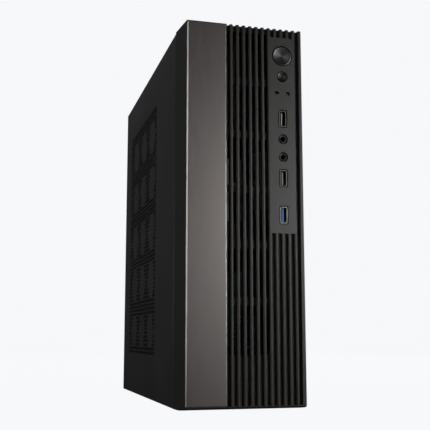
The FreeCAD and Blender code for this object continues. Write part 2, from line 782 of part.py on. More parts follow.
def make_cooler():
    """The processor's finned cooler with its fan."""
    y = "@cooler_y - @cooler_wide / 2"
    z = "@cooler_z - @cooler_wide / 2"
    base = block(("@board_x - 9.4", "@cooler_y - 20", "@cooler_z - 20"), (4, 40, 40))
    spine = block(("@board_x - 13.4", y, z), (4, "@cooler_wide", "@cooler_wide"))
    fins = [block(("@board_x - 33.4", y, f"{z} + {index} * 4.4"), (20, "@cooler_wide", 1))
            for index in range(19)]
    finish("processor_cooler", group([base, spine] + fins))
    rim = block(("@board_x - 48.4", y, z), (15, "@cooler_wide", "@cooler_wide"))
    throat = rod(("@board_x - 49", "@cooler_y", "@cooler_z"), 38, 17, "x")
    bars = [block(("@board_x - 35", y, "@cooler_z - 1.5"), (1.6, "@cooler_wide", 3)),
            block(("@board_x - 35", "@cooler_y - 1.5", z), (1.6, 3, "@cooler_wide")),
            rod(("@board_x - 35", "@cooler_y", "@cooler_z"), 17, 1.6, "x")]
    finish("cooler_fan_frame", join([cut(rim, [throat]), join(bars)]))
    fan_rotor("cooler_fan_rotor", ("@board_x - 48", "@cooler_y", "@cooler_z"), "x", 18, 37, 12.4, 7)


def make_rear_ports():
    """The board's rear sockets and the stamped shield around them."""
    front = 272
    face = "@rear_face - 0.2"
    shield = block(("@shield_left - 1", "@rear_face - 2 * @steel", "@shield_low - 1"),
                   ("@shield_wide + 2", "@steel", "@shield_tall + 2"))
    ports = {
        "rear_usb_sockets": [(240, 16, 14), (196, 16, 14)],
        "rear_network_socket": [(174, 14, 16)],
        "rear_display_socket": [(218, 6.4, 15.4)],
    }
    holes = []
    for label, places in ports.items():
        solids = []
        for middle, tall, wide in places:
            body = block((f"@board_x - {tall}", front, f"{middle} - {wide} / 2"),
                         (tall, f"{face} - {front}", wide))
            cavities = []
            if label == "rear_usb_sockets":
                for step in (1.4, 8.8):
                    low = f"@board_x - {tall} + {step}"
                    cavities.append(block((low, "@rear_face - 9", f"{middle} - 6.2"), (1.2, 10, 12.4)))
                    cavities.append(block((f"{low} + 3.2", "@rear_face - 9", f"{middle} - 6.2"),
                                          (1.9, 10, 12.4)))
            elif label == "rear_network_socket":
                cavities.append(block((f"@board_x - {tall} + 3", "@rear_face - 12", f"{middle} - 5.9"),
                                      (8, 13, 11.8)))
            else:
                cavities.append(block(("@board_x - 5.4", "@rear_face - 8", f"{middle} - 7"), (1.4, 9, 14)))
            solids.append(cut(body, cavities))
            holes.append(block((f"@board_x - {tall} - 0.2", 285, f"{middle} - {wide} / 2 - 0.2"),
                               (f"{tall} + 4", 9, f"{wide} + 0.4")))
        finish(label, group(solids))
    jacks = []
    for step in (6, 17, 28):
        body = block((f"@board_x - {step} - 4.8", front, 113.5), (10.8, f"{face} - {front}", 9))
        bore = rod((f"@board_x - {step}", f"{face} - @jack_deep", 118), "@jack_bore", 20)
        jacks.append(cut(body, [bore]))
    finish("rear_audio_jacks", group(jacks))
    holes.append(block(("@board_x - 34.2", 285, 113.3), (38, 9, 9.4)))
    for index in range(9):
        holes.append(block(("@shield_left + 8", 285, f"@shield_low + 32 + {index} * 4"), (26, 9, 1.6)))
    finish("port_shield", cut(shield, holes))


def make_drive():
    """A slim solid-state drive on its zinc bracket behind the front frame."""
    drive = block((20.2, 44, 44), (7, 100, 69.8))
    finish("storage_drive", group([drive]))
    wall = block((18.6, 32, 34), (1.2, 116, 166))
    windows = [block((18, 56, 56 + index * 48), (3, 74, 34)) for index in range(3)]
    tie = block((18.6, 32, 178), (39.2, 1.2, 6))
    legs = [block((left, 32, 152), (2.4, 1.2, 53)) for left in (44.2, 55.4)]
    solid = join([cut(wall, windows), tie] + legs)
    finish("drive_bracket", solid)
    screws = []
    for y in (56, 132):
        for z in (50, 108):
            screws.append(rod((17.4, y, z), 2.4, 1.2, "x"))
    finish("drive_screws", group(screws))


def cable(label, points, radius):
    """A round cable along straight runs joined by tangent arcs, as large as the runs allow."""
    spots = [V(*point) for point in points]
    edges = []
    start = spots[0]
    for before, corner, after in zip(spots, spots[1:], spots[2:]):
        inward = (before - corner).normalize()
        outward = (after - corner).normalize()
        turn = math.pi - inward.getAngle(outward)
        reach = 0.45 * min((before - corner).Length, (after - corner).Length)
        bend = reach / math.tan(turn / 2)
        first = corner + inward * reach
        last = corner + outward * reach
        middle_line = (inward + outward).normalize()
        middle = corner + middle_line * (bend / math.cos(turn / 2) - bend)
        edges.append(Part.LineSegment(start, first).toShape())
        edges.append(Part.Arc(first, middle, last).toShape())
        start = last
        print(f"{label}: bend radius {bend:.1f}")
    edges.append(Part.LineSegment(start, spots[-1]).toShape())
    path = Part.Wire(edges)
    ring = Part.Circle(spots[0], spots[1] - spots[0], radius)
    section = Part.Wire(ring.toShape())
    solid = path.makePipeShell([section], True, True)
    expected = math.pi * radius ** 2 * path.Length
    if abs(solid.Volume / expected - 1) > 0.01:
        raise RuntimeError(f"{label}: volume {solid.Volume:.1f}, expected {expected:.1f}")
    feature = doc.addObject("Part::Feature", "cable")
    feature.Shape = solid
    finish(label, group([feature]))


def make_cables():
    """The two leads inside the case."""
    supply_x = size("supply_lead_x")
    supply_y = size("supply_y")
    supply_z = size("supply_lead_z")
    board = size("board_x")
    cable("main_power_lead", [
        (supply_x, supply_y + 0.8, supply_z),
        (supply_x, supply_y - 24, supply_z - 3.2),
        (supply_x - 1, supply_y - 47, supply_z - 19.6),
        (supply_x - 3, supply_y - 59, supply_z - 42.6),
        (supply_x - 4, supply_y - 64, supply_z - 66.6),
        (supply_x - 1, supply_y - 65, supply_z - 87.6),
        (board - 31.3, 74.8, 200),
        (board - 12, 74.8, 200),
    ], 4)
    cable("front_panel_lead", [
        (88.6, 28, 160),
        (88.6, 44, 160),
        (84, 58, 146),
        (78, 66, 124),
        (75, 71, 100),
        (73, 75, 78),
        (72, 79, 56),
        (72.5, 81, 38),
        (board - 14, 82, 26),
        (board, 82, 26),
    ], 2)


make_front_bezel()
make_metal_strip()
make_buttons()
make_lights()
make_front_ports()
make_case_plates()
make_rear_panel()
make_slot_covers()
make_side_cover()
make_thumbscrews()
make_feet()
make_power_supply()
make_motherboard()
make_rear_ports()
make_drive()
make_cables()
doc.recompute()

# ---------------------------------------------------------------- checks and files

for item in doc.Objects:
    if "Invalid" in item.State or "Error" in item.State:
        raise RuntimeError(f"{item.Name} ({item.Label}) failed: {item.State}")
for item in sub_parts:
    if item.Shape.isNull() or not item.Shape.isValid():
        raise RuntimeError(f"{item.Label} has no valid shape")

os.makedirs("parts", exist_ok=True)
for item in sub_parts:
    item.Shape.exportStep(f"parts/{item.Label}.step")
    box = item.Shape.BoundBox
    print(f"{item.Label}: {len(item.Shape.Solids)} solids, {item.Shape.Volume:.0f} mm3, "
          f"x {box.XMin:.1f} {box.XMax:.1f}, "
          f"y {box.YMin:.1f} {box.YMax:.1f}, "
          f"z {box.ZMin:.1f} {box.ZMax:.1f}")
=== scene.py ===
"""Looks of a slim desktop computer tower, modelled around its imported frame.

Everything is in metres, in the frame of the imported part: X to the right, Y to the back, Z up. Places are
worked out from the frame's own boxes, and finer sizes are named in each piece's class.
"""

import json
import logging
import math
from collections.abc import Callable, Iterable, Sequence
from dataclasses import dataclass, field
from enum import Enum

import bpy
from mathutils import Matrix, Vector


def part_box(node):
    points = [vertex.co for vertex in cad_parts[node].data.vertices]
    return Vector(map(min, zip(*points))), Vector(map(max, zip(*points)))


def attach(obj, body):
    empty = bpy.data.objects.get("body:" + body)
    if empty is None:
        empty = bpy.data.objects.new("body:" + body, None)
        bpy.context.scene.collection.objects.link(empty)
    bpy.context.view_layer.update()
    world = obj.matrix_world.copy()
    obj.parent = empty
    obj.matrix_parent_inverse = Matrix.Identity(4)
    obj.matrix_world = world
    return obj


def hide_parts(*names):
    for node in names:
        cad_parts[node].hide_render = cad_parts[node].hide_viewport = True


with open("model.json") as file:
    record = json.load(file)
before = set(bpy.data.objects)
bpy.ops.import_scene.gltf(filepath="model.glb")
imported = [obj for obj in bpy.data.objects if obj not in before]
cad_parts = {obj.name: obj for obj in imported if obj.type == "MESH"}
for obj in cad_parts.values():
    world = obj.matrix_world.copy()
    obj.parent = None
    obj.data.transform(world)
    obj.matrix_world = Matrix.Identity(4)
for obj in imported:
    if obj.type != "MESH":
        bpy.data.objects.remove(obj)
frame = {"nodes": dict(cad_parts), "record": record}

LOG = logging.getLogger("tower")
MM = 0.001
NEAR = 0.01 * MM  # How close counts as on a line or a face.
CLEAR = 1 * MM  # How far a cutter runs on past what it cuts through.
Point = tuple[float, float, float]


# ---------------------------------------------------------------- the bench


class Pick(Enum):
    """What an edit picks: corners, edges or faces."""

    CORNERS = "VERT"
    EDGES = "EDGE"
    FACES = "FACE"


class Side(Enum):
    """The way a turned piece's depth runs, as a step along Y."""

    BACK = 1.0
    FRONT = -1.0


def clear_selection() -> None:
    """Leaves edit mode and deselects every object."""
    if bpy.context.object is not None and bpy.context.object.mode != "OBJECT":
        bpy.ops.object.mode_set(mode="OBJECT")
    bpy.ops.object.select_all(action="DESELECT")


def make_active(piece: bpy.types.Object) -> None:
    """Selects one object alone and makes it active."""
    clear_selection()
    piece.select_set(True)
    bpy.context.view_layer.objects.active = piece


def settle(piece: bpy.types.Object) -> bpy.types.Object:
    """Puts an object's place, turn and scale into its mesh.

    Args:
        piece: The object to settle.

    Returns:
        The same object, at the origin.
    """
    make_active(piece)
    bpy.ops.object.transform_apply(location=True, rotation=True, scale=True)
    return piece


def slab(name: str, low: Point, high: Point) -> bpy.types.Object:
    """Adds a box between two corners.

    Args:
        name: The object's name.
        low: The lowest corner.
        high: The highest corner.

    Returns:
        The box, with its place in its mesh.
    """
    clear_selection()
    middle = [(a + b) / 2 for a, b in zip(low, high)]
    sizes = [b - a for a, b in zip(low, high)]
    bpy.ops.mesh.primitive_cube_add(size=1.0, location=middle, scale=sizes)
    piece = bpy.context.object
    piece.name = name
    return settle(piece)


def pick(piece: bpy.types.Object, kind: Pick, test: Callable[[Vector, Vector], bool]) -> None:
    """Enters edit mode with only the chosen corners, edges or faces selected.

    Args:
        piece: The object to edit.
        kind: What is picked.
        test: Takes an element's middle and its direction (an edge's run, a face's normal or a
            corner's normal) and says whether it is picked.
    """
    make_active(piece)
    bpy.ops.object.mode_set(mode="EDIT")
    bpy.ops.mesh.select_mode(type=kind.value)
    bpy.ops.mesh.select_all(action="DESELECT")
    bpy.ops.object.mode_set(mode="OBJECT")
    mesh = piece.data
    if kind is Pick.FACES:
        for face in mesh.polygons:
            face.select = test(face.center, face.normal)
    elif kind is Pick.EDGES:
        for edge in mesh.edges:
            first, last = (mesh.vertices[index].co for index in edge.vertices)
            edge.select = test((first + last) / 2, (last - first).normalized())
    else:
        for corner in mesh.vertices:
            corner.select = test(corner.co, corner.normal)
    bpy.ops.object.mode_set(mode="EDIT")


def open_edit(piece: bpy.types.Object) -> None:
    """Enters edit mode with the whole of a piece selected."""
    make_active(piece)
    bpy.ops.object.mode_set(mode="EDIT")
    bpy.ops.mesh.select_all(action="SELECT")


def close_edit() -> None:
    """Goes back to object mode."""
    bpy.ops.object.mode_set(mode="OBJECT")


def shift_picked(shift: Point) -> None:
    """Moves what is picked and leaves edit mode."""
    bpy.ops.transform.translate(value=shift)
    close_edit()


def round_picked(width: float, segments: int) -> None:
    """Bevels the picked edges and leaves edit mode."""
    bpy.ops.mesh.bevel(offset=width, segments=segments, affect="EDGES", clamp_overlap=True)
    close_edit()


def soften(piece: bpy.types.Object, width: float, segments: int = 2, angle: float = 40.0) -> bpy.types.Object:
    """Breaks every sharp edge of a piece and shades it smooth.

    Args:
        piece: The object to finish.
        width: The bevel's width.
        segments: Steps round the bevel.
        angle: The least turn, in degrees, that counts as a sharp edge.

    Returns:
        The same object.
    """
    make_active(piece)
    bevel = piece.modifiers.new("edge_break", "BEVEL")
    bevel.width = width
    bevel.segments = segments
    bevel.limit_method = "ANGLE"
    bevel.angle_limit = math.radians(angle)
    bevel.use_clamp_overlap = True
    bevel.miter_outer = "MITER_ARC"
    bpy.ops.object.modifier_apply(modifier=bevel.name)
    return flatten_faces(piece)


def flatten_faces(piece: bpy.types.Object, angle: float = 35.0) -> bpy.types.Object:
    """Shades a piece smooth, with the large faces kept flat up to their rounded edges.

    Args:
        piece: The object to shade.
        angle: The least turn, in degrees, that stays a sharp edge.

    Returns:
        The same object.
    """
    make_active(piece)
    bpy.ops.object.shade_smooth_by_angle(angle=math.radians(angle))
    weights = piece.modifiers.new("face_weights", "WEIGHTED_NORMAL")
    weights.weight = 100
    weights.keep_sharp = True
    bpy.ops.object.modifier_apply(modifier=weights.name)
    return piece


def combine(piece: bpy.types.Object, others: Iterable[bpy.types.Object], operation: str) -> bpy.types.Object:
    """Cuts shapes out of a piece, or unites them with it.

    Args:
        piece: The object that stays.
        others: The shapes, which are used up.
        operation: DIFFERENCE or UNION.

    Returns:
        The piece.
    """
    for other in others:
        make_active(piece)
        change = piece.modifiers.new("combine", "BOOLEAN")
        change.operation = operation
        change.solver = "EXACT"
        change.object = other
        bpy.ops.object.modifier_apply(modifier=change.name)
        bpy.data.objects.remove(other, do_unlink=True)
    return piece


def join(name: str, pieces: Sequence[bpy.types.Object]) -> bpy.types.Object:
    """Joins several meshes into one object.

    Args:
        name: The joined object's name.
        pieces: The meshes, the first of which stays.

    Returns:
        The joined object.
    """
    clear_selection()
    for piece in pieces:
        piece.select_set(True)
    bpy.context.view_layer.objects.active = pieces[0]
    if len(pieces) > 1:
        bpy.ops.object.join()
    pieces[0].name = name
    return pieces[0]


def turned(name: str, centre: Point, rings: Sequence[tuple[float, float]], side: Side = Side.BACK,
           steps: int = 64) -> bpy.types.Object:
    """Turns a solid about a line along Y, ring by ring.

    Args:
        name: The object's name.
        centre: A point on the axis, where depth is zero.
        rings: Radius and depth of each ring, from the front to the back.
        side: Which way depth runs.
        steps: Corners round the piece.

    Returns:
        The turned solid.
    """
    clear_selection()
    radius, depth = rings[0]
    middle = Vector(centre) + Vector((0.0, depth * side.value, 0.0))
    bpy.ops.mesh.primitive_circle_add(vertices=steps, radius=radius, fill_type="NGON", location=middle,
                                      rotation=(math.pi / 2, 0.0, 0.0))
    piece = settle(bpy.context.object)
    piece.name = name
    open_edit(piece)
    for following, following_depth in rings[1:]:
        bpy.ops.mesh.extrude_region_move(
            TRANSFORM_OT_translate={"value": (0.0, (following_depth - depth) * side.value, 0.0)})
        scale = following / radius
        axis = (centre[0], centre[1] + following_depth * side.value, centre[2])
        bpy.ops.transform.resize(value=(scale, scale, scale), center_override=axis)
        radius, depth = following, following_depth
    bpy.ops.mesh.select_all(action="SELECT")
    bpy.ops.mesh.normals_make_consistent(inside=False)
    close_edit()
    bpy.ops.object.shade_smooth_by_angle(angle=math.radians(35.0))
    return piece


def copy_of(piece: bpy.types.Object, name: str, shift: Point) -> bpy.types.Object:
    """Copies a piece with a mesh of its own, moved by a shift.

    Args:
        piece: The modelled piece.
        name: The copy's name.
        shift: How far the copy is moved.

    Returns:
        The copy.
    """
    make_active(piece)
    bpy.ops.object.duplicate(linked=False)
    twin = bpy.context.object
    twin.name = name
    open_edit(twin)
    shift_picked(shift)
    return twin


def copy_of_node(node: str, name: str) -> bpy.types.Object:
    """Copies a frame node's mesh, merged, with its flat faces made whole.

    Args:
        node: The frame node's name.
        name: The copy's name.

    Returns:
        The merged copy.
    """
    source = frame["nodes"][node]
    twin = bpy.data.objects.new(name, source.data.copy())
    bpy.context.scene.collection.objects.link(twin)
    twin.data.materials.clear()
    open_edit(twin)
    bpy.ops.mesh.remove_doubles(threshold=0.001 * MM)
    bpy.ops.mesh.dissolve_limited(angle_limit=math.radians(1.0))
    bpy.ops.mesh.normals_make_consistent(inside=False)
    close_edit()
    return twin


# ---------------------------------------------------------------- finishes


def scaled(tone: Sequence[float], share: float) -> list[float]:
    """A tone made darker or lighter by one factor."""
    return [part * share for part in tone]


class Nodes:
    """A material's nodes, with short calls to add and link them."""

    def __init__(self, name: str) -> None:
        """Starts an empty material with a surface shader.

        Args:
            name: The material's name.
        """
        self.material = bpy.data.materials.new(name)
        self.material.use_nodes = True
        self.tree = self.material.node_tree
        self.shader = self.tree.nodes["Principled BSDF"]
        self.place = self.add("ShaderNodeTexCoord").outputs["Object"]

    def add(self, kind: str, **values: object) -> bpy.types.Node:
        """Adds a node and sets its properties.

        Args:
            kind: The node's type.
            **values: Properties of the node.

        Returns:
            The node.
        """
        node = self.tree.nodes.new(kind)
        for name, value in values.items():
            setattr(node, name, value)
        return node

    def link(self, source: bpy.types.NodeSocket, target: bpy.types.NodeSocket) -> None:
        """Links two sockets."""
        self.tree.links.new(source, target)

    def noise(self, scale: float, detail: float = 2.0,
              stretch: Point = (1.0, 1.0, 1.0)) -> bpy.types.NodeSocket:
        """Adds noise on the object's own coordinates.

        Args:
            scale: Waves in a metre.
            detail: Octaves of finer noise.
            stretch: Scale along each axis.

        Returns:
            The noise's value.
        """
        mapping = self.add("ShaderNodeMapping")
        mapping.inputs["Scale"].default_value = stretch
        self.link(self.place, mapping.inputs["Vector"])
        texture = self.add("ShaderNodeTexNoise")
        texture.inputs["Scale"].default_value = scale
        texture.inputs["Detail"].default_value = detail
        self.link(mapping.outputs["Vector"], texture.inputs["Vector"])
        return texture.outputs["Fac"]

    def blend(self, value: bpy.types.NodeSocket, dark: Sequence[float], light: Sequence[float],
              start: float = 0.3, end: float = 0.7) -> bpy.types.NodeSocket:
        """Turns a value into a colour between two colours.

        Args:
            value: The driving value.
            dark: The colour at the low end.
            light: The colour at the high end.
            start: The value at the low end.
            end: The value at the high end.

        Returns:
            The colour.
        """
        ramp = self.add("ShaderNodeValToRGB")
        ramp.color_ramp.elements[0].position = start
        ramp.color_ramp.elements[1].position = end
        ramp.color_ramp.elements[0].color = (*dark, 1.0)
        ramp.color_ramp.elements[1].color = (*light, 1.0)
        self.link(value, ramp.inputs["Fac"])
        return ramp.outputs["Color"]

    def span(self, value: bpy.types.NodeSocket, low: float, high: float) -> bpy.types.NodeSocket:
        """Spreads a value from zero to one over a range.

        Args:
            value: The value.
            low: The result at zero.
            high: The result at one.

        Returns:
            The result.
        """
        ranged = self.add("ShaderNodeMapRange")
        ranged.inputs["To Min"].default_value = low
        ranged.inputs["To Max"].default_value = high
        self.link(value, ranged.inputs["Value"])
        return ranged.outputs["Result"]

    def maths(self, operation: str, *values: bpy.types.NodeSocket | float) -> bpy.types.NodeSocket:
        """Adds a maths node.

        Args:
            operation: The operation's name.
            *values: Its inputs, sockets or numbers.

        Returns:
            The result.
        """
        node = self.add("ShaderNodeMath", operation=operation)
        for socket, value in zip(node.inputs, values):
            if isinstance(value, (int, float)):
                socket.default_value = value
            else:
                self.link(value, socket)
        return node.outputs["Value"]

    def relief(self, heights: Sequence[tuple[bpy.types.NodeSocket, float]]) -> None:
        """Stacks bumps and links them to the shader.

        Args:
            heights: Each height's value and its depth in metres.
        """
        normal = None
        for value, depth in heights:
            bump = self.add("ShaderNodeBump")
            bump.inputs["Distance"].default_value = depth
            self.link(value, bump.inputs["Height"])
            if normal is not None:
                self.link(normal, bump.inputs["Normal"])
            normal = bump.outputs["Normal"]
        self.link(normal, self.shader.inputs["Normal"])

    def surface(self, colour: bpy.types.NodeSocket, roughness: bpy.types.NodeSocket, metallic: float = 0.0,
                specular: float = 0.5) -> bpy.types.Material:
        """Links the shader and closes the material.

        Args:
            colour: The base colour.
            roughness: The roughness.
            metallic: How far the surface is bare metal.
            specular: The shader's specular level.

        Returns:
            The material.
        """
        self.link(colour, self.shader.inputs["Base Color"])
        self.link(roughness, self.shader.inputs["Roughness"])
        self.shader.inputs["Metallic"].default_value = metallic
        self.shader.inputs["Specular IOR Level"].default_value = specular
        return self.material


@dataclass(frozen=True)
class Grained:
    """A moulded, painted or cast surface with a fine grain."""

    slot: str
    tone: tuple[float, float, float]
    roughness: float
    grain: float = 2600.0
    depth: float = 0.00006
    metallic: float = 0.0
    specular: float = 0.5
    wear: float = 0.18
    swing: float = 0.05
    title: str = ""

    def make(self) -> bpy.types.Material:
        """Makes the material.

        Returns:
            The material.
        """
        nodes = Nodes(self.title or self.slot)
        broad = nodes.noise(scale=14.0, detail=3.0)
        fine = nodes.noise(self.grain)
        pits = nodes.noise(self.grain * 0.35, detail=3.0)
        rough = nodes.span(fine, self.roughness - self.swing, self.roughness + self.swing)
        nodes.relief([(pits, self.depth * 1.6), (fine, self.depth)])
        colour = nodes.blend(broad, scaled(self.tone, 1.0 - self.wear), scaled(self.tone, 1.0 + self.wear))
        return nodes.surface(colour, rough, self.metallic, self.specular)


@dataclass(frozen=True)
class Brushed:
    """A metal brushed in one direction."""

    slot: str
    tone: tuple[float, float, float]
    roughness: float
    along: Point = (60.0, 60.0, 1.0)
    scale: float = 60.0
    depth: float = 0.00001
    metallic: float = 1.0
    streak: float = 0.12
    swing: float = 0.06
    title: str = ""

    def make(self) -> bpy.types.Material:
        """Makes the material.

        Returns:
            The material.
        """
        nodes = Nodes(self.title or self.slot)
        hair = nodes.noise(self.scale, detail=4.0, stretch=self.along)
        broad = nodes.noise(scale=18.0)
        both = nodes.maths("MULTIPLY_ADD", hair, 0.75, nodes.maths("MULTIPLY", broad, 0.25))
        rough = nodes.span(hair, self.roughness - self.swing, self.roughness + self.swing)
        nodes.relief([(hair, self.depth)])
        colour = nodes.blend(both, scaled(self.tone, 1.0 - self.streak), scaled(self.tone, 1.0 + self.streak))
        return nodes.surface(colour, rough, self.metallic)


@dataclass(frozen=True)
class SpunWithPaintedGlint:
    """A metal cap turned on a lathe: fine rings, with painted highlight and painted shade fans about its
    middle in place of the spun metal's reflections.
    """

    slot: str
    tone: tuple[float, float, float]
    roughness: float
    centre: Point
    ring: float = 5200.0
    depth: float = 0.00002
    swing: float = 0.08
    # Tone shares at the two ends of the colour: the painted shade fans at the dark end and the painted
    # highlight fans at the light end.
    painted_shade_share: float = 0.35
    painted_glint_share: float = 2.6
    title: str = ""

    def make(self) -> bpy.types.Material:
        """Makes the material.

        Returns:
            The material.
        """
        nodes = Nodes(self.title or self.slot)
        shift = nodes.add("ShaderNodeMapping")
        shift.inputs["Location"].default_value = [-part for part in self.centre]
        nodes.link(nodes.place, shift.inputs["Vector"])
        axes = nodes.add("ShaderNodeSeparateXYZ")
        nodes.link(shift.outputs["Vector"], axes.inputs["Vector"])
        across, up = axes.outputs["X"], axes.outputs["Z"]
        radius = nodes.maths("SQRT", nodes.maths("ADD", nodes.maths("MULTIPLY", across, across),
                                                 nodes.maths("MULTIPLY", up, up)))
        rings = nodes.add("ShaderNodeTexNoise", noise_dimensions="1D")
        rings.inputs["Scale"].default_value = self.ring
        rings.inputs["Detail"].default_value = 3.0
        nodes.link(radius, rings.inputs["W"])
        # Painted highlight and painted shade: bright and dark fans by angle about the middle, painted into
        # the base colour in place of the spun metal's reflections.
        angle = nodes.maths("ARCTAN2", up, across)
        painted_glint_fans = nodes.maths("COSINE", nodes.maths("MULTIPLY_ADD", angle, 2.0, 0.5))
        sharp = nodes.maths("POWER", nodes.maths("MULTIPLY_ADD", painted_glint_fans, 0.5, 0.5), 2.2)
        # The colour follows the rings' grain plus the painted highlight fans.
        rings_and_painted_glint = nodes.maths("MULTIPLY_ADD", rings.outputs["Fac"], 0.3, nodes.maths("MULTIPLY", sharp, 0.8))
        rough = nodes.span(rings.outputs["Fac"], self.roughness - self.swing, self.roughness + self.swing)
        nodes.relief([(rings.outputs["Fac"], self.depth)])
        dark = scaled(self.tone, self.painted_shade_share)
        colour = nodes.blend(rings_and_painted_glint, dark, scaled(self.tone, self.painted_glint_share), start=0.05, end=0.95)
        return nodes.surface(colour, rough, 1.0)


@dataclass(frozen=True)
class Lens:
    """A smoked clear plastic."""

    slot: str
    tone: tuple[float, float, float]
    title: str = ""

    def make(self) -> bpy.types.Material:
        """Makes the material.

        Returns:
            The material.
        """
        nodes = Nodes(self.title or self.slot)
        cloud = nodes.noise(scale=900.0)
        colour = nodes.blend(cloud, scaled(self.tone, 0.8), scaled(self.tone, 1.2))
        rough = nodes.span(cloud, low=0.06, high=0.14)
        nodes.shader.inputs["Coat Weight"].default_value = 0.15
        nodes.relief([(cloud, 0.00001)])
        return nodes.surface(colour, rough)


@dataclass(frozen=True)
class Laminate:
    """A circuit board: solder mask over a woven sheet, with copper runs under it."""

    slot: str
    tone: tuple[float, float, float]
    title: str = ""

    def make(self) -> bpy.types.Material:
        """Makes the material.

        Returns:
            The material.
        """
        nodes = Nodes(self.title or self.slot)
        runs = nodes.add("ShaderNodeTexBrick")
        runs.inputs["Scale"].default_value = 90.0
        runs.inputs["Mortar Size"].default_value = 0.03
        runs.inputs["Color1"].default_value = (*self.tone, 1.0)
        runs.inputs["Color2"].default_value = (*scaled(self.tone, 0.8), 1.0)
        runs.inputs["Mortar"].default_value = (*scaled(self.tone, 1.7), 1.0)
        turn = nodes.add("ShaderNodeMapping")
        turn.inputs["Rotation"].default_value = (0.0, math.pi / 2, 0.0)
        nodes.link(nodes.place, turn.inputs["Vector"])
        nodes.link(turn.outputs["Vector"], runs.inputs["Vector"])
        weave = nodes.noise(scale=1800.0)
        rough = nodes.span(weave, low=0.28, high=0.42)
        nodes.relief([(runs.outputs["Fac"], 0.00003), (weave, 0.00001)])
        return nodes.surface(runs.outputs["Color"], rough)


FINISHES = (
    Grained("black_moulding", (0.028, 0.0255, 0.0225), 0.38),
    Grained("black_steel", (0.019, 0.019, 0.0195), 0.46, grain=1500.0, depth=0.00005),
    Brushed("satin_strip", (0.218, 0.2, 0.193), 0.335, depth=0.000002, streak=0.04),
    Laminate("green_board", (0.012, 0.035, 0.02)),
    Grained("foot_rubber", (0.02, 0.02, 0.02), 0.8, grain=1800.0),
    Brushed("plated_steel", (0.3, 0.29, 0.275), 0.36, along=(8.0, 1.0, 8.0), scale=300.0, streak=0.06),
    Grained("white_insulator", (0.76, 0.75, 0.72), 0.45),
    Grained("blue_insulator", (0.06, 0.23, 0.62), 0.4),
    Grained("black_screw", (0.03, 0.03, 0.03), 0.36, metallic=0.6),
    Brushed("zinc_steel", (0.36, 0.37, 0.38), 0.48, along=(1.0, 12.0, 12.0), scale=90.0, streak=0.1),
    Brushed("bright_wire", (0.6, 0.6, 0.6), 0.25, streak=0.05),
    Grained("fan_plastic", (0.02, 0.02, 0.021), 0.38),
    Brushed("brass_contact", (0.62, 0.44, 0.19), 0.3, streak=0.08),
    Brushed("fin_aluminium", (0.55, 0.55, 0.56), 0.35, along=(1.0, 20.0, 20.0), scale=120.0),
    Grained("drive_case", (0.05, 0.05, 0.055), 0.4, metallic=0.7),
    Grained("lead_sleeve", (0.02, 0.02, 0.02), 0.6, grain=900.0, depth=0.0002),
)

# Finishes that only part of a piece has, in the slot of the whole piece.
# Painted shade: a darker copy of the moulding for the bezel's outer sides and its front border beside the
# last groove.
SHADED_SIDE_MOULDING = Grained("black_moulding", (0.013, 0.0127, 0.0122), 0.5, specular=0.35, title="side_moulding_painted_shade")
# Black plastic darkened further as painted shade, for the slower sockets' tongues deep in their shells.
SHADED_DARK_TONGUE = Grained("black_moulding", (0.004, 0.004, 0.004), 0.6, specular=0.15, title="tongue_black_painted_shade")
DULL_PLATE = Brushed("plated_steel", (0.17, 0.165, 0.155), 0.4, along=(8.0, 1.0, 8.0), scale=300.0,
                     title="dull_plate")
POLISHED_EDGE = Brushed("satin_strip", (0.56, 0.545, 0.53), 0.3, depth=0.000001, streak=0.03,
                        title="polished_edge")


class Cabinet:
    """The finishes, made once and handed out by slot."""

    def __init__(self) -> None:
        """Makes every finish."""
        self.made = {finish.slot: finish.make() for finish in FINISHES}

    def dress(self, piece: bpy.types.Object, slot: str) -> bpy.types.Object:
        """Gives a whole piece one finish.

        Args:
            piece: The piece.
            slot: The finish's slot.

        Returns:
            The piece.
        """
        piece.data.materials.clear()
        piece.data.materials.append(self.made[slot])
        return piece


# ---------------------------------------------------------------- front


def middle_of(node: str) -> Vector:
    """The middle of a frame node's box."""
    low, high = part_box(node)
    return (low + high) / 2


def port_line() -> float:
    """The place across the front where the ports and buttons stand, one above another."""
    return middle_of("power_button").x


def axis_of(node: str, depth: float) -> Point:
    """The point at one depth on the line along Y through the middle of a frame node's box."""
    low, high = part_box(node)
    return ((low.x + high.x) / 2, depth, (low.z + high.z) / 2)


def half_width(node: str) -> float:
    """Half the width of a frame node's box."""
    low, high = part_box(node)
    return (high.x - low.x) / 2


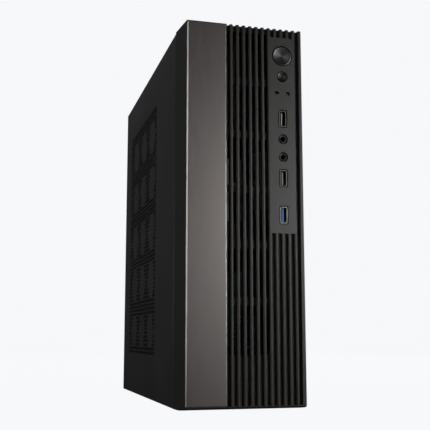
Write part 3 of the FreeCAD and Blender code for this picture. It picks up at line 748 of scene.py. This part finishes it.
@dataclass
class FrontBezel:
    """The moulded front: shell, ribs, port panel and the seat for the strip."""

    cabinet: Cabinet
    pitch: float = 5.4 * MM
    groove: float = 2.4 * MM
    groove_depth: float = 3.0 * MM
    first_groove: float = 37.6 * MM
    rib_round: float = 1.1 * MM
    taper: float = 2.9 * MM
    chin: float = 1.6 * MM
    front_wall: float = 5.0 * MM
    side_wall: float = 5.0 * MM
    lid: float = 2.4 * MM
    lip: float = 3.4 * MM
    lip_round: float = 1.3 * MM
    panel_low: float = 138.6 * MM
    panel_high: float = 303.6 * MM
    window_low: float = 42.0 * MM
    window_tall: float = 39.0 * MM
    window_pitch: float = 45.0 * MM
    window_gap: float = 0.2 * MM
    window_front: float = 1.0 * MM
    rib_sink: float = 0.3 * MM
    power_gap: float = 0.6 * MM
    reset_gap: float = 0.4 * MM
    light_lap: float = 0.65 * MM
    jack_hole: float = 3.3 * MM
    dish_radius: float = 4.15 * MM
    dish_depth: float = 2.6 * MM
    socket_gap: float = 0.2 * MM
    socket_round: float = 0.9 * MM
    pocket_gap: float = 0.7 * MM
    pocket_depth: float = 3.2 * MM
    pocket_round: float = 1.6 * MM
    low: Vector = field(init=False)
    high: Vector = field(init=False)

    def __post_init__(self) -> None:
        """Reads the bezel's box from the frame."""
        self.low, self.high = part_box("front_bezel")

    def groove_x(self, index: float) -> float:
        """The middle of one groove, from the left."""
        return self.low.x + self.first_groove + index * self.pitch

    def shell(self) -> bpy.types.Object:
        """Models the tapered box with its chin, hollow, groove bed, windows and strip seat.

        Returns:
            The shell.
        """
        low, high = self.low, self.high
        shell = slab("front_bezel_shell", tuple(low), tuple(high))
        pick(shell, Pick.CORNERS, lambda at, _: at.y < low.y + NEAR)
        narrow = (high.x - low.x - 2 * self.taper) / (high.x - low.x)
        bpy.ops.transform.resize(value=(narrow, 1.0, 1.0), center_override=(0.0, low.y, 0.0))
        bpy.ops.mesh.select_all(action="SELECT")
        middle = (low.y + high.y) / 2
        bpy.ops.mesh.bisect(plane_co=(0.0, middle, 0.0), plane_no=(0.0, 1.0, 0.0))
        close_edit()
        pick(shell, Pick.CORNERS, lambda at, _: at.y < low.y + NEAR and at.z < low.z + NEAR)
        shift_picked((0.0, 0.0, self.chin))
        pick(shell, Pick.EDGES, lambda at, run: at.y < middle - NEAR and at.z < low.z + self.chin + NEAR
             and abs(run.z) < 0.5)
        round_picked(self.lip_round, 4)
        bed = low.y + self.groove_depth
        right = self.groove_x(11) + self.groove / 2
        left = self.groove_x(0) - self.groove / 2
        strip_low, strip_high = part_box("metal_strip")
        cuts = [
            slab("hollow", (low.x + self.side_wall, low.y + self.front_wall, low.z + self.lid),
                 (high.x - self.side_wall, high.y + CLEAR, high.z - self.lid)),
            slab("groove_bed", (left, low.y - CLEAR, low.z + self.lip), (right, bed, high.z + CLEAR)),
            slab("strip_seat", (low.x - CLEAR, low.y - CLEAR, strip_low.z),
                 (strip_high.x + 0.1 * MM, strip_high.y, strip_high.z)),
        ]
        window_right = self.groove_x(6) + self.groove / 2 + self.window_gap
        for row in range(6):
            base = low.z + self.window_low + row * self.window_pitch
            cuts.append(slab("window", (left - self.window_gap, low.y + self.window_front, base),
                             (window_right, low.y + self.front_wall + CLEAR, base + self.window_tall)))
        combine(shell, cuts, "DIFFERENCE")
        pick(shell, Pick.EDGES, lambda at, run: abs(run.z) > 0.99 and at.y < low.y + NEAR
             and abs(at.x - right) < NEAR)
        round_picked(self.rib_round, 5)
        return shell

    def rib(self, name: str, left: float, right: float, base: float, top: float) -> bpy.types.Object:
        """Models one upright rib with rounded front edges.

        Args:
            name: The rib's name.
            left: Its left side.
            right: Its right side.
            base: Its lower end.
            top: Its upper end.

        Returns:
            The rib.
        """
        front = self.low.y
        rib = slab(name, (left, front, base), (right, front + self.groove_depth + self.rib_sink, top))
        pick(rib, Pick.EDGES, lambda at, run: abs(run.z) > 0.99 and at.y < front + NEAR)
        round_picked(self.rib_round, 5)
        return rib

    def ribs(self) -> list[bpy.types.Object]:
        """Models the ribs and the port panel.

        Returns:
            The ribs, as separate shapes.
        """
        made = []
        base = self.low.z + self.lip - 0.5 * MM
        top = self.high.z
        panel_low = self.low.z + self.panel_low
        panel_high = self.low.z + self.panel_high
        half = self.groove / 2
        first = self.rib("rib", self.groove_x(0) + half, self.groove_x(1) - half, base, top)
        made.append(first)
        for index in range(1, 6):
            made.append(copy_of(first, "rib", (index * self.pitch, 0.0, 0.0)))
        for index in range(6, 11):
            left = self.groove_x(index) + half
            right = self.groove_x(index + 1) - half
            made.append(self.rib("low_rib", left, right, base, panel_low + 0.2 * MM))
            made.append(self.rib("high_rib", left, right, panel_high - 0.2 * MM, top))
        left = self.groove_x(6) + half
        made.append(self.rib("port_panel", left, self.groove_x(11) - half, panel_low, panel_high))
        return made

    def holes(self) -> list[bpy.types.Object]:
        """Models the shapes that are cut out of the port panel.

        Returns:
            The cutters.
        """
        front = self.low.y
        through = self.front_wall + CLEAR
        gaps = {
            "power_button": self.power_gap,
            "reset_button": self.reset_gap,
            "power_light": -self.light_lap,
            "drive_light": -self.light_lap,
        }
        cutters = []
        for node, gap in gaps.items():
            radius = half_width(node) + gap
            rings = [(radius, -CLEAR), (radius, through)]
            cutters.append(turned("hole", axis_of(node, front), rings, steps=72))
        for node in ("upper_audio_jack", "lower_audio_jack"):
            at = (port_line(), front, middle_of(node).z)
            for radius, depth in ((self.jack_hole, through), (self.dish_radius, self.dish_depth)):
                cutters.append(turned("hole", at, [(radius, -CLEAR), (radius, depth)], steps=48))
        for node in ("upper_usb_shell", "middle_usb_shell", "fast_usb_shell"):
            cutters.append(self.rounded_cutter(node, self.socket_gap, through, self.socket_round))
            cutters.append(self.rounded_cutter(node, self.pocket_gap, self.pocket_depth, self.pocket_round))
        return cutters

    def rounded_cutter(self, node: str, gap: float, depth: float, radius: float) -> bpy.types.Object:
        """Models a cutter round a socket, with rounded corners as seen from the front.

        Args:
            node: The frame node of the socket.
            gap: How far the cutter stands out round the socket.
            depth: How deep it cuts behind the front.
            radius: Its corners' radius.

        Returns:
            The cutter.
        """
        low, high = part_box(node)
        front = self.low.y
        cutter = slab("socket_hole", (low.x - gap, front - CLEAR, low.z - gap),
                      (high.x + gap, front + depth, high.z + gap))
        pick(cutter, Pick.EDGES, lambda at, run: abs(run.y) > 0.99)
        round_picked(radius, 5)
        return cutter

    def build(self) -> bpy.types.Object:
        """Models, finishes and mounts the bezel.

        Returns:
            The bezel.
        """
        bezel = self.shell()
        combine(bezel, self.ribs(), "UNION")
        combine(bezel, self.holes(), "DIFFERENCE")
        bezel.name = "moulded_front"
        soften(bezel, 0.22 * MM, 2, 45.0)
        self.cabinet.dress(bezel, "black_moulding")
        # Painted shade: the outer side faces and the front faces right of the last groove take the darker
        # moulding.
        bezel.data.materials.append(SHADED_SIDE_MOULDING.make())
        for face in bezel.data.polygons:
            painted_shade_side = abs(face.normal.x) > 0.95 and abs(face.center.x) > self.high.x - self.taper - 0.2 * MM
            painted_shade_border = face.normal.y < -0.5 and face.center.x > self.groove_x(11) + self.groove / 2
            if painted_shade_side or painted_shade_border:
                face.material_index = 1
        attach(bezel, "case")
        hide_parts("front_bezel")
        return bezel


@dataclass
class MetalStrip:
    """The satin strip on the left of the front: a cut chamfer, a fine groove beside it and a rounded edge."""

    cabinet: Cabinet
    chamfer: float = 1.25 * MM
    chamfer_depth: float = 0.42 * MM
    groove: float = 0.4 * MM
    groove_depth: float = 0.3 * MM
    right_round: float = 0.5 * MM

    def plate(self, low: Vector, high: Vector) -> bpy.types.Object:
        """Models the plate with its groove, chamfer and rounded edge.

        Args:
            low: The strip's lowest corner.
            high: Its highest corner.

        Returns:
            The plate.
        """
        strip = slab("satin_strip_plate", tuple(low), tuple(high))
        lines = [low.x + self.chamfer + share * self.groove for share in (0.0, 0.5, 1.0)]
        for place in lines:
            open_edit(strip)
            bpy.ops.mesh.bisect(plane_co=(place, 0.0, 0.0), plane_no=(1.0, 0.0, 0.0))
            close_edit()
        pick(strip, Pick.CORNERS, lambda at, _: at.y < low.y + NEAR and abs(at.x - lines[1]) < NEAR)
        shift_picked((0.0, self.groove_depth, 0.0))
        pick(strip, Pick.CORNERS, lambda at, _: at.y < low.y + NEAR and at.x < low.x + NEAR)
        shift_picked((0.0, self.chamfer_depth, 0.0))
        pick(strip, Pick.EDGES, lambda at, run: abs(run.z) > 0.99 and at.y < low.y + NEAR
             and at.x > high.x - NEAR)
        round_picked(self.right_round, 5)
        return strip

    def build(self) -> bpy.types.Object:
        """Models, finishes and mounts the strip.

        Returns:
            The strip.
        """
        low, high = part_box("metal_strip")
        strip = soften(self.plate(low, high), 0.08 * MM, 2, 25.0)
        self.cabinet.dress(strip, "satin_strip")
        strip.data.materials.append(POLISHED_EDGE.make())
        right = high.x - self.right_round
        for face in strip.data.polygons:
            on_chamfer = face.center.x < low.x + self.chamfer and face.normal.y < -0.5
            on_round = face.center.x > right and face.normal.x > 0.05 and face.normal.y < -0.05
            if on_chamfer or on_round:
                face.material_index = 1
        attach(strip, "case")
        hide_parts("metal_strip")
        return strip


@dataclass
class PushCap:
    """A dished round button cap with its stem."""

    node: str
    body: str
    dish: float = 0.35 * MM
    stem: float = 3.0 * MM
    cap_deep: float = 5.5 * MM
    tone: float = 0.05

    def build(self) -> bpy.types.Object:
        """Models, finishes and mounts the cap.

        Returns:
            The cap.
        """
        low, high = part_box(self.node)
        radius = half_width(self.node)
        centre = axis_of(self.node, low.y)
        shares = (0.12, 0.3, 0.5, 0.7, 0.85)
        dished = [(radius * share, self.dish * (1.0 - share * share)) for share in shares]
        rim = [
            (radius * 0.9, 0.02 * MM),
            (radius * 0.94, 0.0),
            (radius * 0.985, 0.12 * MM),
            (radius, 0.4 * MM),
            (radius, self.cap_deep),
            (self.stem, self.cap_deep),
            (self.stem, high.y - low.y),
        ]
        cap = turned(f"{self.node}_cap", centre, dished + rim, steps=96)
        # The cap's finish has painted highlight and painted shade fans in its colour.
        finish = SpunWithPaintedGlint("spun_cap", (self.tone,) * 3, 0.36, centre, title=f"{self.node}_spun_painted_glint")
        cap.data.materials.append(finish.make())
        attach(cap, self.body)
        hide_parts(self.node)
        return cap


@dataclass
class StatusLight:
    """A smoked light pipe with a domed end and a flange behind the bezel's wall."""

    node: str
    pipe: float = 1.5 * MM
    sink: float = 1.5 * MM
    flange_front: float = 5.4 * MM
    flange_back: float = 6.6 * MM

    def build(self) -> bpy.types.Object:
        """Models, finishes and mounts the light pipe.

        Returns:
            The light pipe.
        """
        low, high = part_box(self.node)
        pipe = self.pipe
        flange = half_width(self.node)
        rings = [
            (pipe * 0.2, self.sink),
            (pipe * 0.6, self.sink + 0.1 * MM),
            (pipe * 0.88, self.sink + 0.3 * MM),
            (pipe, self.sink + 0.6 * MM),
            (pipe, self.flange_front),
            (flange, self.flange_front),
            (flange, self.flange_back),
            (pipe, self.flange_back),
            (pipe, high.y - low.y),
        ]
        lens = turned(f"{self.node}_pipe", axis_of(self.node, low.y), rings, steps=40)
        finish = Lens("smoked_lens", (0.003, 0.002, 0.002), title=f"{self.node}_lens")
        lens.data.materials.append(finish.make())
        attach(lens, "case")
        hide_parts(self.node)
        return lens


@dataclass
class UsbSocket:
    """An upright USB socket: a rolled steel shell with two springs, and a contact tongue."""

    cabinet: Cabinet
    prefix: str
    tongue_slot: str
    wall: float = 0.45 * MM
    corner: float = 1.0 * MM
    mouth_step: float = 0.25 * MM
    mouth_deep: float = 6.0 * MM
    spring_offset: float = 3.0 * MM
    gap_half: float = 0.9 * MM
    gap_sink: float = 1.2 * MM
    gap_front: float = 2.5 * MM
    gap_back: float = 7.0 * MM
    leaf_half: float = 0.6 * MM
    leaf_front: float = 2.4 * MM
    leaf_back: float = 6.0 * MM
    leaf_bend: float = 0.7 * MM
    tongue_left: float = 1.5 * MM
    tongue_thick: float = 1.9 * MM
    tongue_half: float = 5.6 * MM
    tongue_round: float = 0.5 * MM
    block_deep: float = 2.9 * MM
    block_lap: float = 0.9 * MM
    recess: float = 0.3 * MM
    contacts: tuple[float, ...] = (-3.5 * MM, -1.25 * MM, 1.25 * MM, 3.5 * MM)
    contact_half: float = 0.5 * MM
    contact_front: float = 0.9 * MM
    contact_lap: float = 0.4 * MM
    contact_sink: float = 0.05 * MM
    contact_rise: float = 0.12 * MM
    rail_left: float = 0.5 * MM
    rail_right: float = 1.05 * MM
    rail_half: float = 5.2 * MM
    rail_deep: float = 6.0 * MM

    @property
    def is_fast(self) -> bool:
        """Whether this is the faster kind, with a blue tongue and no rail."""
        return self.tongue_slot == "blue_insulator"

    def springs(self, low: Vector, high: Vector) -> tuple[list[bpy.types.Object], list[bpy.types.Object]]:
        """Models the two spring leaves and the gaps that they lie in.

        Args:
            low: The shell's lowest corner.
            high: Its highest corner.

        Returns:
            The gaps and the leaves.
        """
        wall = high.x - self.mouth_step
        gaps = []
        leaves = []
        for offset in (-self.spring_offset, self.spring_offset):
            middle = (low.z + high.z) / 2 + offset
            gap = slab("spring_gap", (high.x - self.gap_sink, low.y + self.gap_front, middle - self.gap_half),
                       (high.x + CLEAR, low.y + self.gap_back, middle + self.gap_half))
            gaps.append(gap)
            leaf = slab("spring", (wall - self.wall, low.y + self.leaf_front, middle - self.leaf_half),
                        (wall - self.wall * 0.4, low.y + self.leaf_back, middle + self.leaf_half))
            pick(leaf, Pick.CORNERS, lambda at, _: at.y > low.y + (self.leaf_front + self.leaf_back) / 2)
            shift_picked((-self.leaf_bend, 0.0, 0.0))
            leaves.append(leaf)
        return gaps, leaves

    def shell(self) -> bpy.types.Object:
        """Models the rolled shell with its flared mouth and spring windows.

        Returns:
            The shell.
        """
        low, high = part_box(f"{self.prefix}_shell")
        step = self.mouth_step
        shell = slab(f"{self.prefix}_rolled_shell", (low.x + step, low.y, low.z + step),
                     (high.x - step, high.y, high.z - step))
        back = slab("back_collar", (low.x, low.y + self.mouth_deep, low.z), tuple(high))
        inner = slab("bore", (low.x + step + self.wall, low.y - CLEAR, low.z + step + self.wall),
                     (high.x - step - self.wall, high.y + CLEAR, high.z - step - self.wall))
        inner_corner = self.corner - self.wall * 0.6
        for shape, radius in ((shell, self.corner), (back, self.corner), (inner, inner_corner)):
            pick(shape, Pick.EDGES, lambda at, run: abs(run.y) > 0.99)
            round_picked(radius, 4)
        combine(shell, [back], "UNION")
        gaps, leaves = self.springs(low, high)
        combine(shell, [inner, *gaps], "DIFFERENCE")
        soften(shell, 0.1 * MM)
        return join(f"{self.prefix}_rolled_shell", [shell, *leaves])

    def tongue(self) -> bpy.types.Object:
        """Models the tongue with its back block, its four contacts and, on the slower kind, a white rail.

        Returns:
            The tongue.
        """
        low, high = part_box(f"{self.prefix}_tongue")
        middle = (low.z + high.z) / 2
        left = low.x + self.tongue_left
        right = left + self.tongue_thick
        block = slab("block", (low.x, high.y - self.block_deep, low.z), tuple(high))
        front = low.y if self.is_fast else low.y + self.recess
        board = slab(f"{self.prefix}_contact_tongue", (left, front, middle - self.tongue_half),
                     (right, high.y - self.block_deep + self.block_lap, middle + self.tongue_half))
        pick(board, Pick.EDGES, lambda at, run: abs(run.z) > 0.99 and at.y < front + NEAR)
        round_picked(self.tongue_round, 3)
        combine(board, [block], "UNION")
        soften(board, 0.08 * MM, segments=1)
        self.cabinet.dress(board, self.tongue_slot)
        inlays = []
        for offset in self.contacts:
            place = middle + offset
            base = (right - self.contact_sink, low.y + self.contact_front, place - self.contact_half)
            back = high.y - self.block_deep + self.contact_lap
            tip = (right + self.contact_rise, back, place + self.contact_half)
            inlays.append(self.cabinet.dress(slab("contact", base, tip), "brass_contact"))
        if not self.is_fast:
            # The slower tongues take the black with painted shade for their place deep in the shell.
            board.data.materials[0] = SHADED_DARK_TONGUE.make()
            rail = slab("rail", (left + self.rail_left, low.y, middle - self.rail_half),
                        (left + self.rail_right, low.y + self.rail_deep, middle + self.rail_half))
            inlays.append(self.cabinet.dress(rail, "white_insulator"))
        return join(f"{self.prefix}_contact_tongue", [board, *inlays])

    def build(self) -> list[bpy.types.Object]:
        """Models, finishes and mounts the socket.

        Returns:
            The shell and the tongue.
        """
        shell = self.cabinet.dress(self.shell(), "plated_steel")
        if not self.is_fast:
            shell.data.materials[0] = DULL_PLATE.make()
        tongue = self.tongue()
        for piece, node in ((shell, "shell"), (tongue, "tongue")):
            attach(piece, "case")
            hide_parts(f"{self.prefix}_{node}")
        return [shell, tongue]


@dataclass
class AudioJack:
    """A round audio socket with a polished ring round its mouth."""

    cabinet: Cabinet
    node: str
    nose: float = 3.1 * MM
    nose_front: float = 2.5 * MM
    nose_back: float = 6.2 * MM
    housing_front: float = 5.1 * MM
    bore: float = 1.8 * MM
    depth: float = 14.0 * MM
    ring_back: float = 2.52 * MM
    ring_wall: float = 0.65 * MM

    def build(self) -> list[bpy.types.Object]:
        """Models, finishes and mounts the jack and its ring.

        Returns:
            The jack and the ring.
        """
        low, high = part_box(self.node)
        centre = (port_line(), low.y, (low.z + high.z) / 2)
        nose = [(self.nose, self.nose_front), (self.nose, self.nose_back)]
        jack = turned(f"{self.node}_body", centre, nose, steps=48)
        housing = slab("housing", (low.x, low.y + self.housing_front, low.z), tuple(high))
        combine(jack, [housing], "UNION")
        bore = turned("bore", centre, [(self.bore, -CLEAR), (self.bore, self.depth)])
        combine(jack, [bore], "DIFFERENCE")
        soften(jack, 0.12 * MM)
        self.cabinet.dress(jack, "black_moulding")
        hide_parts(self.node)
        lip = [(self.nose - 0.25 * MM, 0.0), (self.nose, 0.2 * MM), (self.nose, self.ring_back)]
        ring = turned(f"{self.node}_ring", centre, lip, steps=48)
        mouth = self.nose - self.ring_wall
        hole = turned("hole", centre, [(mouth, -CLEAR), (mouth, self.ring_back + CLEAR)], steps=48)
        combine(ring, [hole], "DIFFERENCE")
        soften(ring, 0.1 * MM)
        dark = Brushed("black_moulding", (0.075, 0.072, 0.068), 0.32, title=f"{self.node}_ring_metal").make()
        ring.data.materials.append(dark)
        for piece in (jack, ring):
            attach(piece, "case")
        return [jack, ring]


# ---------------------------------------------------------------- cover and screws


@dataclass
class SideCover:
    """The vented left cover, with its edges broken as folded steel's are."""

    cabinet: Cabinet
    edge: float = 0.35 * MM

    def build(self) -> bpy.types.Object:
        """Copies the vented sheet from the frame, rounds its outer edges and mounts it.

        Returns:
            The cover.
        """
        cover = copy_of_node("left_side_panel", "vented_cover")
        low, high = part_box("left_side_panel")

        def outer(at: Vector, _: Vector) -> bool:
            """Whether an edge lies on the sheet's outer border, on its outside face."""
            if at.x > low.x + NEAR:
                return False
            return (abs(at.y - low.y) < NEAR or abs(at.y - high.y) < NEAR
                    or abs(at.z - low.z) < NEAR or abs(at.z - high.z) < NEAR)

        pick(cover, Pick.EDGES, outer)
        round_picked(self.edge, 3)
        bpy.ops.object.shade_smooth_by_angle(angle=math.radians(30.0))
        self.cabinet.dress(cover, "black_steel")
        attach(cover, "left_cover")
        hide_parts("left_side_panel")
        return cover


@dataclass
class Thumbscrew:
    """A knurled thumbscrew with a driver slot."""

    cabinet: Cabinet
    node: str
    body: str
    knurls: int = 30
    knurl_share: float = 0.93
    shank: float = 1.6 * MM
    head: float = 4.0 * MM
    collar: float = 0.9 * MM
    slot_depth: float = 1.0 * MM
    slot_half: float = 0.5 * MM

    def build(self) -> bpy.types.Object:
        """Models, finishes and mounts the screw.

        Returns:
            The screw.
        """
        low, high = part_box(self.node)
        centre = axis_of(self.node, high.y)
        radius = half_width(self.node)
        head = self.head
        rings = [
            (radius * 0.55, 0.25 * MM),
            (radius * 0.6, 0.0),
            (radius * 0.88, 0.0),
            (radius, 0.5 * MM),
            (radius, head - 0.3 * MM),
            (radius * 0.95, head),
            (radius * 0.8, head),
            (radius * 0.8, head + self.collar),
            (self.shank, head + self.collar),
            (self.shank, high.y - low.y),
        ]
        screw = turned(self.node + "_turned", centre, rings, Side.FRONT, steps=self.knurls * 4)
        middle_y = high.y - head / 2

        def valley(at: Vector, normal: Vector) -> bool:
            """Whether a face of the head's wall lies in a knurl's valley."""
            if abs(at.y - middle_y) > head / 2 or abs(normal.y) > 0.3:
                return False
            turn = math.atan2(at.z - centre[2], at.x - centre[0]) / (2 * math.pi) * self.knurls
            return turn % 1.0 < 0.5

        pick(screw, Pick.FACES, valley)
        bpy.ops.transform.resize(value=(self.knurl_share, 1.0, self.knurl_share), center_override=centre)
        close_edit()
        reach = radius * 0.6
        slot = slab("driver_slot", (centre[0] - reach, high.y - self.slot_depth, centre[2] - self.slot_half),
                    (centre[0] + reach, high.y + CLEAR, centre[2] + self.slot_half))
        combine(screw, [slot], "DIFFERENCE")
        self.cabinet.dress(screw, "black_screw")
        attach(screw, self.body)
        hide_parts(self.node)
        return screw


# ---------------------------------------------------------------- carried nodes


@dataclass
class CarriedParts:
    """The frame's own nodes that stay on show, each given its finish."""

    cabinet: Cabinet

    def build(self) -> int:
        """Puts a finish in every carried node's material slots.

        Returns:
            How many nodes were dressed.
        """
        slots = {part["node"]: part["material_slot"] for part in frame["record"]["subparts"]}
        count = 0
        for name, node in frame["nodes"].items():
            if node.hide_render:
                continue
            finish = self.cabinet.made[slots[name]]
            if not node.data.materials:
                node.data.materials.append(finish)
            for place in node.material_slots:
                place.material = finish
            count += 1
        return count


# ---------------------------------------------------------------- studio


@dataclass(frozen=True)
class Softbox:
    """One soft rectangular light: where it stands, the point it faces, its size and its watts."""

    name: str
    place: Point
    aim: Point
    size: tuple[float, float]
    power: float

    def build(self) -> None:
        """Adds the light."""
        data = bpy.data.lights.new(self.name, "AREA")
        data.shape = "RECTANGLE"
        data.size, data.size_y = self.size
        data.energy = self.power
        lamp = bpy.data.objects.new(self.name, data)
        bpy.context.scene.collection.objects.link(lamp)
        lamp.location = self.place
        lamp.rotation_euler = (Vector(self.aim) - Vector(self.place)).to_track_quat("-Z", "Y").to_euler()


SOFTBOXES = (
    Softbox("key_softbox", (1.08, -1.77, 0.42), (0.0, -0.15, 0.15), (0.4, 0.4), 12.5),
    Softbox("edge_strip", (-0.93, -2.05, 0.5), (0.0, -0.15, 0.16), (0.12, 1.3), 2.6),
    Softbox("left_softbox", (-1.7, -0.12, 0.22), (0.0, 0.05, 0.15), (0.8, 0.7), 13.5),
    Softbox("right_softbox", (1.6, 0.5, 0.6), (0.0, 0.05, 0.15), (1.0, 1.0), 22.0),
    Softbox("top_softbox", (0.1, 1.0, 1.6), (0.0, 0.1, 0.3), (1.0, 1.0), 20.0),
    Softbox("back_softbox", (0.7, 1.8, 0.7), (0.0, 0.15, 0.15), (0.9, 0.9), 11.0),
)


@dataclass
class Studio:
    """The camera, the soft lights, and a floor and backdrop that are pale to the camera alone."""

    camera_at: Point = (-0.18598, -0.74264, 0.05766)
    turn: float = 15.085
    tilt: float = 8.792
    lens: float = 66.07
    sensor: float = 36.0
    pale: Point = (0.93, 0.935, 0.955)
    paleness: float = 0.998
    ambient: float = 0.03
    floor_size: float = 60.0
    floor_dark: Point = (0.008, 0.008, 0.008)
    floor_light: Point = (0.01, 0.01, 0.01)

    def camera(self) -> None:
        """Places the camera at the viewing angle."""
        data = bpy.data.cameras.new("camera")
        data.lens = self.lens
        data.sensor_width = self.sensor
        data.clip_start = 0.01
        camera = bpy.data.objects.new("camera", data)
        bpy.context.scene.collection.objects.link(camera)
        camera.location = self.camera_at
        camera.rotation_euler = (math.radians(90.0 + self.tilt), 0.0, math.radians(-self.turn))
        bpy.context.scene.camera = camera

    def room(self) -> None:
        """Adds the floor and the backdrop: pale to the camera, and nearly black to the object."""
        bpy.context.scene.view_settings.view_transform = "Standard"
        clear_selection()
        bpy.ops.mesh.primitive_plane_add(size=self.floor_size, location=(0.0, 0.0, 0.0))
        floor = bpy.context.object
        floor.name = "floor"
        nodes = Nodes("pale_floor")
        cloud = nodes.noise(scale=3.0, detail=3.0)
        colour = nodes.blend(cloud, self.floor_dark, self.floor_light)
        nodes.surface(colour, nodes.span(cloud, low=0.9, high=1.0), specular=0.0)
        seen = nodes.add("ShaderNodeLightPath").outputs["Is Camera Ray"]
        glow = nodes.maths("MULTIPLY", seen, self.paleness)
        nodes.link(glow, nodes.shader.inputs["Emission Strength"])
        nodes.shader.inputs["Emission Color"].default_value = (*self.pale, 1.0)
        floor.data.materials.append(nodes.material)
        world = bpy.data.worlds.new("studio")
        bpy.context.scene.world = world
        world.use_nodes = True
        tree = world.node_tree
        shade = tree.nodes["Background"]
        path = tree.nodes.new("ShaderNodeLightPath")
        mix = tree.nodes.new("ShaderNodeMix")
        mix.data_type = "RGBA"
        mix.inputs["A"].default_value = (*[self.ambient] * 3, 1.0)
        mix.inputs["B"].default_value = (*self.pale, 1.0)
        tree.links.new(path.outputs["Is Camera Ray"], mix.inputs["Factor"])
        tree.links.new(mix.outputs["Result"], shade.inputs["Color"])

    def build(self) -> None:
        """Builds the whole studio."""
        self.camera()
        for softbox in SOFTBOXES:
            softbox.build()
        self.room()


# ---------------------------------------------------------------- main


def main() -> None:
    """Builds the studio and every sub-assembly in order, and reports each."""
    logging.basicConfig(level=logging.INFO, format="%(name)s: %(message)s")
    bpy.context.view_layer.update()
    Studio().build()
    cabinet = Cabinet()
    makers = [
        FrontBezel(cabinet),
        MetalStrip(cabinet),
        PushCap("power_button", "power_cap"),
        PushCap("reset_button", "reset_cap", dish=0.2 * MM, stem=1.8 * MM, tone=0.024),
        StatusLight("power_light"),
        StatusLight("drive_light"),
        UsbSocket(cabinet, "upper_usb", "black_moulding"),
        UsbSocket(cabinet, "middle_usb", "black_moulding"),
        UsbSocket(cabinet, "fast_usb", "blue_insulator"),
        AudioJack(cabinet, "upper_audio_jack"),
        AudioJack(cabinet, "lower_audio_jack"),
        SideCover(cabinet),
        Thumbscrew(cabinet, "lower_thumbscrew", "lower_screw"),
        Thumbscrew(cabinet, "upper_thumbscrew", "upper_screw"),
        CarriedParts(cabinet),
    ]
    for maker in makers:
        made = maker.build()
        LOG.info("%s: %s", type(maker).__name__, made)


if __name__ == "__main__":
    main()
